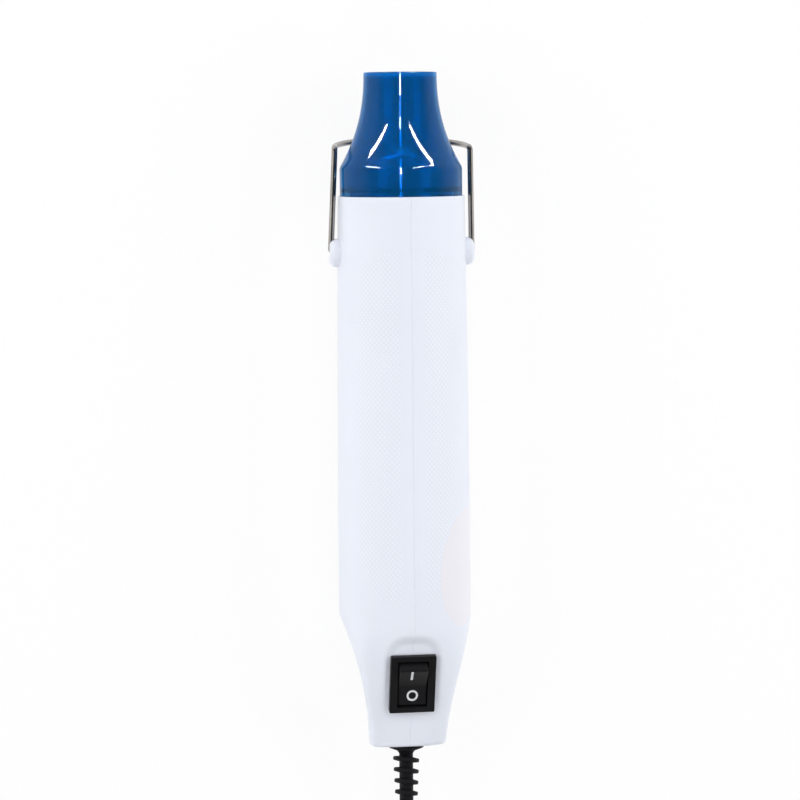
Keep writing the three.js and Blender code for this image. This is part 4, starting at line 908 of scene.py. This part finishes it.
def sunk(x, along, height):
    """Where a point of the casing comes to lie when the pad is sunk into it, with soft edges."""
    cosine, sine = math.cos(PAD_TILT), math.sin(PAD_TILT)
    rise = height - TAIL_FRONT
    above = rise * cosine - along * sine
    if above <= 0:
        return along, height
    up_pad = along * cosine + rise * sine
    aside = x - PAD_HALF_WIDTH + PAD_CORNER
    past = PAD_TOP_SPREAD * (up_pad - PAD_TOP / cosine) + PAD_CORNER
    inside = PAD_CORNER - (math.hypot(aside, past) if min(aside, past) > 0 else max(aside, past))
    depth = above * smooth(inside, *PAD_SOFTNESS)
    return along + depth * sine, height - depth * cosine


def casing_rows():
    """Rows of a casing half, from the relief's hole over the tail end and along to the mouth: the
    place of the section, its inset, where the row stands, and the share left to the hole's
    circle."""
    rows = [(TAIL_ROUNDING, TAIL_ROUNDING, 0, share) for share in HOLE_SHARES]
    for k in range(TAIL_END_ROWS + 1):
        angle = math.pi / 2 * k / TAIL_END_ROWS
        inset = TAIL_ROUNDING * (1 - math.sin(angle))
        rows.append((TAIL_ROUNDING, inset, TAIL_ROUNDING * (1 - math.cos(angle)), 0))
    top = CASING_LENGTH - MOUTH_ROUNDING
    for start, end, steps in (
        (TAIL_ROUNDING, ROWS_CHANGE_AT, TAIL_ROWS), (ROWS_CHANGE_AT, top, BODY_ROWS)
    ):
        places = [blend(start, end, k / steps) for k in range(1, steps + 1)]
        rows += [(along, 0, along, 0) for along in places]
    for k in range(1, MOUTH_ROWS + 1):
        angle = math.pi / 2 * k / MOUTH_ROWS
        inset = MOUTH_ROUNDING * (1 - math.cos(angle))
        rows.append((CASING_LENGTH, inset, top + MOUTH_ROUNDING * math.sin(angle), 0))
    return rows


def lengths_from_front(section):
    """The length round a section, from the front seam to each of its points."""
    total, sums = 0, [0]
    for before, after in zip(section[::-1], section[-2::-1]):
        total += math.dist(before, after)
        sums.append(total)
    return sums[::-1]


def casing_sheet():
    """The right half's outer surface, with its UV map round and along in millimetres."""
    rows = casing_rows()
    sections = [half_section(along, inset) for along, inset, _, _ in rows]
    last_column, last_row = len(sections[0]) - 1, len(rows) - 1
    bm = bmesh.new()
    bmesh.ops.create_grid(bm, x_segments=last_column, y_segments=last_row, size=0.5)
    layer = bm.loops.layers.uv.new("round_and_along")
    marks = {}
    for vert in bm.verts:
        column = round((vert.co.x + 0.5) * last_column)
        row = round((vert.co.y + 0.5) * last_row)
        marks[vert] = (row, column)
        _, _, stand, to_hole = rows[row]
        x, height = sections[row][column]
        hole = on_circle((0, 0), RELIEF_HOLE, math.pi * (column / last_column - 0.5))
        x, height = blend(x, hole[0], to_hole), blend(height, hole[1], to_hole)
        from_seam = last_column - column
        dip = SEAM_COLUMNS[from_seam][1] if from_seam < len(SEAM_COLUMNS) else 0
        stand, height = sunk(x, stand, height + dip)
        vert.co = (max(x, SEAM_GAP), stand, height - dip)
    lengths = [lengths_from_front(section) for section in sections]
    for face in bm.faces:
        for loop in face.loops:
            row, column = marks[loop.vert]
            loop[layer].uv = (lengths[row][column], rows[row][2])
    bmesh.ops.recalc_face_normals(bm, faces=bm.faces)
    if sum(face.normal.x for face in bm.faces) < 0:
        bmesh.ops.reverse_faces(bm, faces=bm.faces)
    return bm


PAD_FRAME = Matrix.Translation((0, 0, TAIL_FRONT)) @ Matrix.Rotation(PAD_TILT, 4, "X")
SWITCH_FRAME = PAD_FRAME @ Matrix.Translation((0, SWITCH_AT / math.cos(PAD_TILT), 0))
EAR_FRAME = Matrix.Translation((0, EAR_AT, 0)) @ Matrix.Rotation(-math.pi / 2, 4, "Z")


def ear():
    """The rounded boss that the stand's end turns in."""
    root = MOUTH_HALF_WIDTH - WALL
    profile = [(0, root), (EAR_RADIUS, root)]
    for k in range(9):
        angle = math.pi / 2 * k / 8
        inward = EAR_ROUNDING * (1 - math.cos(angle))
        profile.append((EAR_RADIUS - inward, EAR_REACH - EAR_ROUNDING * (1 - math.sin(angle))))
    profile.append((0, EAR_REACH))
    return moved(turned(profile, 48, closed=False), EAR_FRAME)


def leg_sweep():
    """The room that the stand's leg sweeps in the ear's outer face."""
    half = WIRE_RADIUS + RUNNING_GAP
    far = EAR_RADIUS + 2
    turn = math.degrees(STAND_SWING)
    ahead = Vector((math.cos(STAND_SWING), -math.sin(STAND_SWING)))
    aside = Vector((-math.sin(STAND_SWING), -math.cos(STAND_SWING)))
    outline = [(far, half)]
    outline += arc((0, 0), half, 90, 270 - turn, 14)
    outline.append(tuple(ahead * far + aside * half))
    outline += arc((0, 0), math.hypot(far, half), -turn, 0, 14)
    return moved(prism(outline, LEG_PIVOT - half, EAR_REACH + 2), side_frame(EAR_AT, 0))


def air_slots():
    """Cutters for the air slots in the right half of the tail's back."""
    parts = []
    low, high = SLOT_SPAN
    for row in range(SLOT_ROWS):
        along = SLOT_FIRST + row * SLOT_PITCH + SLOT_WIDTH / 2
        centre = ((low + high) / 2, along)
        outline = rounded_rectangle(high - low, SLOT_WIDTH, SLOT_WIDTH / 2 - 0.01, centre)
        parts.append(prism(outline, -2 * BACK_DEPTH, SLOT_DEPTH - back_at(along)))
    return parts


def add_screw_seats(half):
    """Bosses and stepped holes for the casing's screws."""
    bosses, head_holes, shank_holes = [], [], []
    for along, height, seat in SCREWS:
        reach = side_reach(along, height)
        for parts, start, end, radius in (
            (bosses, seat - WALL, reach - 0.7, SCREW_BOSS),
            (head_holes, seat, reach + 6, SCREW_HEAD_HOLE),
            (shank_holes, seat - 4, seat + 0.1, SCREW_SHANK_HOLE),
        ):
            parts.append(rod((start, along, height), (end, along, height), radius))
    combine(half, merged(*bosses), "UNION")
    combine(half, merged(*head_holes), "DIFFERENCE")
    combine(half, merged(*shank_holes), "DIFFERENCE")


def mirror(obj):
    """Turns the mesh of a right piece into that of the left one."""
    bm = bmesh.new()
    bm.from_mesh(obj.data)
    bmesh.ops.scale(bm, vec=(-1, 1, 1), verts=bm.verts)
    bmesh.ops.reverse_faces(bm, faces=bm.faces)
    bm.to_mesh(obj.data)
    bm.free()
    shade(obj.data)


def casing_half(right, name, node):
    """One half of the casing. The left half is the right one without its screw seats, mirrored."""
    half = place_mesh(casing_sheet(), name, looks["casing_plastic"])
    thicken(half, WALL)
    combine(half, ear(), "UNION")
    combine(half, merged(*air_slots(), leg_sweep()), "DIFFERENCE")
    opening = rounded_rectangle(HOUSING[0] + 2 * RUNNING_GAP, HOUSING[1] + 2 * RUNNING_GAP, 1)
    switch_hole = moved(prism(opening, -5, 1), SWITCH_FRAME)
    pivot = rod((3, EAR_AT, 0), (EAR_REACH + 1, EAR_AT, 0), WIRE_RADIUS + RUNNING_GAP)
    combine(half, merged(switch_hole, pivot), "DIFFERENCE")
    if right:
        add_screw_seats(half)
    else:
        mirror(half)
    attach(half, "tool")
    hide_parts(node)


def cap_radius_at(along):
    share = (along - CASING_LENGTH - SKIRT_LENGTH) / (CAP_LENGTH - SKIRT_LENGTH)
    return RIM_RADIUS + (SKIRT_RADIUS - RIM_RADIUS) * (1 - share) ** FLARE_SWEEP


def add_cap():
    """The outlet cap: spigot, skirt with a rounded shoulder, and flare."""
    skirt_top = CASING_LENGTH + SKIRT_LENGTH
    outer, inner = [], []
    for k in range(FLARE_STEPS + 1):
        share = k / FLARE_STEPS
        along = blend(skirt_top, CAP_TOP, share)
        radius = cap_radius_at(along)
        outer.append((radius, along))
        inner.append((radius - blend(CAP_WALL, RIM_WALL, share), along))
    shoulder = [(SKIRT_RADIUS, skirt_top - 2), (SKIRT_RADIUS, skirt_top), outer[2]]
    spigot_inner = SPIGOT_RADIUS - SPIGOT_WALL
    spigot_end = CASING_LENGTH - SPIGOT_LENGTH
    profile = [
        (spigot_inner, spigot_end), (SPIGOT_RADIUS, spigot_end), (SPIGOT_RADIUS, CASING_LENGTH),
        (SKIRT_RADIUS, CASING_LENGTH), *rounded(shoulder, SHOULDER_ROUNDING, 6)[1:-1],
        *outer[2:], *inner[::-1], (SKIRT_RADIUS - CAP_WALL, CASING_LENGTH + 2 * CAP_WALL),
        (spigot_inner, CASING_LENGTH + CAP_WALL),
    ]
    bm = turned(rounded(profile, 0.35, 3, closed=True), 144)
    cap = place_mesh(bm, "outlet_cap", looks["cap_plastic"], CAP_SHARP_EDGE)
    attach(cap, "tool")
    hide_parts("nozzle_cap")
    return cap


def add_barrel():
    """The drawn steel barrel with its shoulder, outlet tube and flange."""
    low, high = BARREL_SHOULDER
    flange_radius, flange_from, flange_to = FLANGE
    inside = BARREL_RADIUS - BARREL_WALL
    outlet_inside = OUTLET_RADIUS - BARREL_WALL

    def bends(shares):
        step = BARREL_RADIUS - OUTLET_RADIUS
        return [(BARREL_RADIUS - share * step, low + up * (high - low)) for share, up in shares]

    profile = [
        (BARREL_RADIUS, BARREL_FROM), (BARREL_RADIUS, flange_from), (flange_radius, flange_from),
        (flange_radius, flange_to), (BARREL_RADIUS, flange_to), (BARREL_RADIUS, low),
        *bends(SHOULDER_OUTSIDE), (OUTLET_RADIUS, high), (OUTLET_RADIUS, BARREL_TOP),
        (outlet_inside, BARREL_TOP), (outlet_inside, high - 0.2), *bends(SHOULDER_INSIDE),
        (inside, low - 0.2), (inside, BARREL_FROM),
    ]
    bm = turned(rounded(profile, 0.6, 4, closed=True), 120)
    barrel = place_mesh(bm, "steel_barrel", looks["barrel_steel"])
    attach(barrel, "tool")
    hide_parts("barrel")


def bent_line(corners, radius, steps):
    """A line through corners with an arc of equal radius at each."""
    points = [corners[0]]
    for before, here, after in zip(corners, corners[1:], corners[2:]):
        back, onward = (before - here).normalized(), (after - here).normalized()
        half = back.angle(onward) / 2
        centre = here + (back + onward).normalized() * (radius / math.sin(half))
        start = here + back * (radius / math.tan(half)) - centre
        turn = onward.cross(back).normalized()
        for k in range(steps + 1):
            angle = (math.pi - 2 * half) * k / steps
            points.append(centre + Matrix.Rotation(angle, 3, turn) @ start)
    return points + [corners[-1]]


def crossbar_point(angle):
    depth = STAND_DEPTH * math.sin(angle)
    along = EAR_AT + LEG_LENGTH + depth * math.tan(STAND_RISE)
    return Vector((LEG_CORNER * math.cos(angle), along, -depth))


def add_stand():
    """The bent wire stand, from one ear round behind the cap to the other, leaning a little to the
    right."""
    end, pivot = Vector((LEG_END, EAR_AT, 0)), Vector((LEG_PIVOT, EAR_AT, 0))
    corners = [end, pivot, crossbar_point(0), crossbar_point(STAND_STRAIGHT)]
    right = bent_line(corners, STAND_BEND, 10)
    for k in range(1, STAND_STEPS):
        right.append(crossbar_point(blend(STAND_STRAIGHT, math.pi / 2, k / STAND_STEPS)))
    left = [Vector((-point.x, point.y, point.z)) for point in reversed(right)]
    route = right + [crossbar_point(math.pi / 2)] + left
    curve, _, knots = start_tube("stand_line", "POLY", len(route), WIRE_RADIUS, 8)
    for knot, point in zip(knots, route):
        point.x += STAND_LEAN * smooth((point.y - EAR_AT) / LEG_LENGTH, 0, 1.2)
        knot.co = (*(TO_ROW @ point), 1)
    drawn = add_object("stand_line", curve)
    graph = bpy.context.evaluated_depsgraph_get()
    mesh = bpy.data.meshes.new_from_object(drawn.evaluated_get(graph))
    bpy.data.objects.remove(drawn, do_unlink=True)
    mesh.name = "stand_wire_bent"
    mesh.materials.clear()
    mesh.materials.append(looks["stand_wire"])
    shade(mesh, WIRE_SHARP_EDGE)
    stand = add_object("stand_wire_bent", mesh)
    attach(stand, "stand")
    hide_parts("wire_stand")
    return stand


# Rocker form, in the plane of Y and Z about its pivot
ROCKER_REACH = math.hypot(ROCKER_LENGTH / 2, ROCKER_CROWN)
ROCKER_TIP_ANGLE = math.atan2(ROCKER_CROWN, ROCKER_LENGTH / 2) + ROCKER_THROW / 2
ROCKER_VALLEY = Vector((0, ROCKER_CROWN / math.cos(ROCKER_THROW / 2)))
ROCKER_TIP = Vector(on_circle((0, 0), ROCKER_REACH, ROCKER_TIP_ANGLE))
ROCKER_TURN = Matrix.Rotation(ROCKER_THROW / 2, 2)


def across_rocker(radius, margin, steps=32):
    """A rod along the rocker's pivot, past both its sides by a margin."""
    reach = ROCKER_WIDTH / 2 + margin
    bar = rod((-reach, 0, ROCKER_PIVOT), (reach, 0, ROCKER_PIVOT), radius, steps)
    return moved(bar, SWITCH_FRAME)


def add_switch_body():
    """Housing and bezel of the rocker switch, with the well that the rocker sits in."""
    width, length, height = BEZEL
    bezel = prism(rounded_rectangle(width, length, 0.5), 0, height)
    housing = prism(rounded_rectangle(HOUSING[0], HOUSING[1], 1), -HOUSING[2], 0.4)
    body = place_mesh(moved(bezel, SWITCH_FRAME), "switch_housing", looks["switch_black"])
    combine(body, moved(housing, SWITCH_FRAME), "UNION")
    x, y = ROCKER_WIDTH / 2 + RUNNING_GAP, ROCKER_REACH + RUNNING_GAP
    well = box_between((-x, -y, -ROCKER_WELL), (x, y, height + 1))
    combine(body, moved(well, SWITCH_FRAME), "DIFFERENCE")
    combine(body, across_rocker(*PIN_HOLE), "DIFFERENCE")
    seats = []
    x, half, depth = TERMINAL_SEAT
    for y in (-TERMINAL_SPACING / 2, TERMINAL_SPACING / 2):
        low, high = -HOUSING[2] - 1, depth - HOUSING[2]
        seats.append(box_between((-x, y - half, low), (x, y + half, high)))
    combine(body, moved(merged(*seats), SWITCH_FRAME), "DIFFERENCE")
    round_edges(body, 0.28, 3)
    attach(body, "tool")
    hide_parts("switch_body")


def rocker_face(share, proud=0.0):
    """A point over the rocker's hollow face, by its share of the way from the valley to the tip."""
    hollow = ROCKER_HOLLOW * math.sin(math.pi * share)
    return ROCKER_VALLEY.lerp(ROCKER_TIP, share) - Vector((0, hollow - proud))


def rocker_outline():
    """The rocker's side outline, with hollow faces, turned so that the off half is level."""
    right = [rocker_face(k / 10) for k in range(1, 10)]
    for k in range(9):
        angle = blend(ROCKER_TIP_ANGLE, -ROCKER_SKIRT, k / 8)
        right.append(Vector(on_circle((0, 0), ROCKER_REACH, angle)))
    right.append(Vector((ROCKER_FOOT[0] / 2, -ROCKER_FOOT[1])))
    left = [Vector((-point.x, point.y)) for point in reversed(right)]
    return [ROCKER_TURN @ point for point in [ROCKER_VALLEY] + right + left]


def bar_mark():
    bm = prism(rounded_rectangle(*BAR_MARK, 0.12, steps=3), 0, 1)
    sides = [edge for edge in bm.edges if edge.calc_length() > 1]
    bmesh.ops.subdivide_edges(bm, edges=sides, cuts=6)
    return bm


def ring_mark():
    outer, inner = RING_MARK
    bm = bmesh.new()
    corners = [(inner, 0, 0), (outer, 0, 0), (outer, 0, 1), (inner, 0, 1)]
    spun(bm, corners, (0, 0, 1), 48, True)
    return moved(bm, Matrix.Diagonal((1, RING_STRETCH, 1, 1)))


def add_rocker_mark(name, aside, share, bm):
    """A thin printed mark on the rocker's hollow face. Its share is below 0 on the off half."""
    for vert in bm.verts:
        on_face = share + vert.co.y / ROCKER_REACH
        point = rocker_face(abs(on_face), blend(-MARK_PROUD, MARK_PROUD, vert.co.z))
        point = ROCKER_TURN @ Vector((math.copysign(point.x, on_face), point.y))
        vert.co = (vert.co.x + aside, point.x, point.y + ROCKER_PIVOT)
    bmesh.ops.recalc_face_normals(bm, faces=bm.faces)
    mark = place_mesh(moved(bm, SWITCH_FRAME), name, looks["mark_off_white"])
    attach(mark, "rocker")


def add_rocker():
    """The rocker, with a bar on the half that stands up and a ring on the level half."""
    bm = prism(rocker_outline(), -ROCKER_WIDTH / 2, ROCKER_WIDTH / 2)
    bm = moved(moved(bm, side_frame(0, ROCKER_PIVOT)), SWITCH_FRAME)
    rocker = place_mesh(bm, "rocker", looks["switch_black"])
    round_edges(rocker, 0.35, 3, 50)
    combine(rocker, across_rocker(*ROCKER_PIN), "UNION")
    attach(rocker, "rocker")
    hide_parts("switch_rocker")
    add_rocker_mark("on_bar", -0.6, 0.68, bar_mark())
    add_rocker_mark("off_ring", 0, -0.52, ring_mark())


def add_relief():
    """The ribbed sleeve at the tail end, with its collar outside and its flange in the wall."""
    neck_radius, neck_end = RELIEF_NECK
    flange_radius, flange_end = RELIEF_FLANGE
    core = [
        (RELIEF_BORE, -RELIEF_LENGTH), (RELIEF_CORE, -RELIEF_LENGTH), (RELIEF_CORE, -FUNNEL[2]),
        (FUNNEL[0], -FUNNEL[1]), (COLLAR_RADIUS - 0.2, -COLLAR_EDGE), (COLLAR_RADIUS, 0),
        (neck_radius, 0), (neck_radius, neck_end), (flange_radius, neck_end),
        (flange_radius, flange_end), (RELIEF_BORE, flange_end),
    ]
    core = turned(rounded(core, 0.3, 3, closed=True), 64)
    sleeve = place_mesh(core, "relief_sleeve", looks["rubber_black"])
    root_radius, half_root = RIB_ROOT
    turn = Matrix.Rotation(-RIB_LEAN, 4, "X") @ Matrix.Rotation(-RIB_TILT, 4, "Z")
    ribs = []
    for k in range(RIB_COUNT):
        radius = RIB_RADIUS - RIB_TAPER * k
        profile = [
            (root_radius, -half_root), (radius, -RIB_HALF_TIP),
            (radius, RIB_HALF_TIP), (root_radius, half_root),
        ]
        rib = turned(rounded(profile, 0.5, 4, closed=True), 64)
        ribs.append(moved(rib, Matrix.Translation((0, -RIB_FIRST - RIB_PITCH * k, 0)) @ turn))
    combine(sleeve, merged(*ribs), "UNION")
    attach(sleeve, "tool")
    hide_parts("strain_relief")


def plug_form():
    """The plug's waisted body, bridged from ring to ring."""
    width, length, thickness = PLUG_SIZE
    bm = bmesh.new()
    before = None
    for along, wide, thick in PLUG_RINGS:
        made = bmesh.ops.create_circle(bm, cap_ends=False, segments=48, radius=1)
        for vert in made["verts"]:
            angle = math.atan2(vert.co.y, vert.co.x)
            y = width / 2 * wide * signed_power(math.cos(angle), PLUG_SQUARENESS)
            z = thickness / 2 * thick * signed_power(math.sin(angle), PLUG_SQUARENESS)
            vert.co = PLUG_AT + Vector((along * length, y, z))
        edges = {edge for vert in made["verts"] for edge in vert.link_edges if edge.is_wire}
        if before:
            bmesh.ops.bridge_loops(bm, edges=before + list(edges))
        before = list(edges)
    bmesh.ops.holes_fill(bm, edges=bm.edges, sides=0)
    bmesh.ops.recalc_face_normals(bm, faces=bm.faces)
    return bm


def add_blade(name, node, side):
    """A flat blade of the plug with the hole near its tip."""
    wide, thick, reach = BLADE
    face = PLUG_AT.x + PLUG_SIZE[1]
    y = PLUG_AT.y + side * BLADE_SPACING / 2
    outline = rounded([
        (face, -wide / 2), (face + reach, -wide / 2), (face + reach, wide / 2), (face, wide / 2),
    ], 1.2, 5, closed=True)
    stand_up = Matrix(((1, 0, 0, 0), (0, 0, -1, y), (0, 1, 0, PLUG_AT.z), (0, 0, 0, 1)))
    bm = moved(prism(outline, -thick / 2, thick / 2), stand_up)
    blade = place_mesh(bm, name, looks["brass_blade"])
    x = face + BLADE_HOLE[0]
    hole = rod((x, y - 2, PLUG_AT.z), (x, y + 2, PLUG_AT.z), BLADE_HOLE[1])
    combine(blade, hole, "DIFFERENCE")
    round_edges(blade, 0.2, 2)
    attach(blade, "tool")
    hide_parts(node)
    return blade


def add_plug():
    """The moulded plug with its neck, finger grips and two blades."""
    length, thickness = PLUG_SIZE[1:]
    plug = place_mesh(plug_form(), "plug_moulding", looks["rubber_black"])
    radius, reach = PLUG_NECK
    start, end = PLUG_AT - Vector((reach, 0, 0)), PLUG_AT + Vector((2, 0, 0))
    combine(plug, rod(start, end, radius - 0.7, 40, radius), "UNION")
    wide, half, deep = GRIP_BOX
    grips = []
    for z in (PLUG_AT.z - thickness / 2, PLUG_AT.z + thickness / 2):
        for k in range(PLUG_GRIPS):
            x = PLUG_AT.x + length * GRIP_FIRST + k * GRIP_STEP
            low = (x, PLUG_AT.y - half, z - deep)
            grips.append(box_between(low, (x + wide, PLUG_AT.y + half, z + deep)))
    combine(plug, merged(*grips), "DIFFERENCE")
    round_edges(plug, 0.25, 2, 35)
    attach(plug, "tool")
    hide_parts("plug_body")
    blades = [add_blade("blade_1", "plug_blade_1", -1), add_blade("blade_2", "plug_blade_2", 1)]
    return plug, blades


def round_section(section, around):
    """The point of a section at a length round it from its first point."""
    for near, far in zip(section, section[1:]):
        step = math.dist(near, far)
        if step >= around:
            share = around / step
            return blend(near[0], far[0], share), blend(near[1], far[1], share)
        around -= step


def add_label():
    """A bare oval label that follows the casing's right side."""
    bm = bmesh.new()
    bmesh.ops.create_grid(bm, x_segments=24, y_segments=48, size=1)
    cosine, sine = math.cos(LABEL_TURN), math.sin(LABEL_TURN)
    for vert in bm.verts:
        across = LABEL_SIZE[0] * vert.co.x * math.sqrt(1 - vert.co.y ** 2 / 2)
        upward = LABEL_SIZE[1] * vert.co.y * math.sqrt(1 - vert.co.x ** 2 / 2)
        around = LABEL_CENTRE[0] + across * cosine + upward * sine
        along = LABEL_CENTRE[1] + upward * cosine - across * sine
        x, height = round_section(half_section(along, -LABEL_LIFT)[::-1], around)
        vert.co = (x, along, height)
    bmesh.ops.recalc_face_normals(bm, faces=bm.faces)
    label = place_mesh(bm, "bare_label", looks["label_white"])
    thicken(label, LABEL_FILM)
    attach(label, "tool")


casing_half(True, "casing_shell_right", "casing_right")
casing_half(False, "casing_shell_left", "casing_left")
cap = add_cap()
add_barrel()
stand = add_stand()
add_switch_body()
add_rocker()
add_relief()
plug, blades = add_plug()
add_label()


# Floor, lights and surroundings

FLOOR_HALF_SIZE = 2.5
FLOOR_SHOWN_WHITE = 0.9


def add_floor():
    """A pale floor that looks nearly white and keeps a faint shadow of the object."""
    bm = bmesh.new()
    bmesh.ops.create_grid(bm, x_segments=1, y_segments=1, size=FLOOR_HALF_SIZE)
    mesh = bpy.data.meshes.new("floor")
    bm.to_mesh(mesh)
    bm.free()
    floor = add_object("floor", mesh)
    material, shading, shader, where = start_material("floor_white")
    speckle = shading.noise(where, 8.0)
    tone = shading.mix(speckle, (0.93, 0.93, 0.93, 1), (0.95, 0.95, 0.95, 1))
    shading.feed(shader, {"Base Color": tone, "Roughness": 0.9, "Specular IOR Level": 0.0})
    glow = shading.add("ShaderNodeEmission", {"Color": (1, 1, 1, 1), "Strength": 1.0})
    path = shading.add("ShaderNodeLightPath").outputs
    seen = shading.math("MAXIMUM", path["Is Camera Ray"], path["Is Transmission Ray"])
    seen = shading.math("MAXIMUM", seen, path["Is Glossy Ray"])
    share = shading.math("MULTIPLY", seen, FLOOR_SHOWN_WHITE)
    values = {0: share, 1: shader.outputs[0], 2: glow.outputs[0]}
    mixed = shading.add("ShaderNodeMixShader", values)
    shading.feed(material.node_tree.nodes["Material Output"], {"Surface": mixed.outputs[0]})
    mesh.materials.append(material)


CAP_MIDDLE = Vector((0, 0.108, 0.036))

# Soft boxes: two ends in metres, width in metres and power in watts
SOFT_BOXES = {
    "box_left": ((-0.95, -0.4, 0.7), (-0.95, 0.6, 0.7), 0.6, 6.5),
    "box_right": ((0.95, -0.4, 0.7), (0.95, 0.6, 0.7), 0.6, 6.5),
    "box_outlet": ((-0.6, 0.9, 1.0), (0.6, 0.9, 1.0), 0.6, 6.8),
    "box_tail": ((-0.4, -0.7, 1.2), (0.4, -0.7, 1.2), 0.5, 4.3),
}

# Strips: the directions of two ends from the cap's middle, width in metres and power in watts
LEFT_STROKE = ((-0.65, 0.5, 0.57), (-0.774, 0.63, -0.02))
RIGHT_STROKE = ((0.26, 0.51, 0.82), (0.69, 0.69, 0.2))
CAP_MIRRORS = {
    "stroke_left": (*LEFT_STROKE, 0.045, 34),
    "stroke_right": (*RIGHT_STROKE, 0.045, 34),
    "glint_rim": ((-0.148, -0.02, 0.985), (-0.15, 0.22, 0.965), 0.05, 7),
    "glint_flare": ((-0.147, 0.45, 0.88), (-0.14, 0.56, 0.816), 0.05, 2.5),
    "glint_lip": ((-0.6, 0.8, 0.12), (0.4, 0.9, 0.12), 0.12, 10),
}
CAP_SHOWS_THROUGH = {
    "inside_front": ((-0.148, -0.12, 0.985), (-0.14, 0.6, 0.79), 0.05, 12),
    "inside_left": (*LEFT_STROKE, 0.06, 9),
    "inside_right": (*RIGHT_STROKE, 0.06, 9),
    "inside_rings": ((-0.6, 0.8, 0.3), (0.4, 0.85, 0.3), 0.15, 9),
}
STAND_MIRRORS = {
    "leg_left": ((-0.82, -0.5, 0.5), (-0.82, 0.5, 0.5), 0.5, 1.8),
    "leg_right": ((0.82, -0.5, 0.5), (0.82, 0.5, 0.5), 0.5, 1.8),
}


def add_soft_box(name, start, end, width, power):
    """A long lamp between two points, turned to the cap. It lights but is not mirrored."""
    data = bpy.data.lights.new(name, "AREA")
    data.shape = "RECTANGLE"
    start, end = Vector(start), Vector(end)
    data.size, data.size_y = width, (end - start).length
    data.energy = power
    lamp = add_object(name, data)
    middle = (start + end) / 2
    along = (end - start).normalized()
    across = along.cross(middle - CAP_MIDDLE).normalized()
    turn = Matrix((across, along, across.cross(along))).transposed()
    lamp.matrix_world = Matrix.Translation(middle) @ turn.to_4x4()
    lamp.visible_glossy = False
    return lamp


def add_strip(piece, through, name, start, end, width, power):
    """A narrow lamp a metre from the cap's middle. One piece alone mirrors it on its surface, or
    shows it through itself."""
    ends = [CAP_MIDDLE + Vector(way).normalized() for way in (start, end)]
    lamp = add_soft_box(name, *ends, width, power)
    lamp.visible_diffuse = False
    lamp.visible_glossy = not through
    lamp.visible_transmission = through
    pieces = bpy.data.collections.new(name + "_pieces")
    pieces.objects.link(piece)
    lamp.light_linking.receiver_collection = pieces


def add_surroundings():
    """A room that is pale round the horizon and dark overhead."""
    world = bpy.data.worlds.new("studio")
    bpy.context.scene.world = world
    world.use_nodes = True
    shading = Shading(world.node_tree)
    direction = shading.add("ShaderNodeTexCoord").outputs["Generated"]
    strength = shading.ramp(shading.separate(direction)["Z"], 0.02, 0.5, 1.0, 0.05)
    background = world.node_tree.nodes["Background"]
    shading.feed(background, {"Color": (1, 1, 1, 1), "Strength": strength})


add_floor()
for name, values in SOFT_BOXES.items():
    add_soft_box(name, *values)
for lamps, piece, through in (
    (CAP_MIRRORS, cap, False), (CAP_SHOWS_THROUGH, cap, True), (STAND_MIRRORS, stand, False)
):
    for name, values in lamps.items():
        add_strip(piece, through, name, *values)
add_surroundings()

bpy.context.scene.view_settings.view_transform = "Standard"
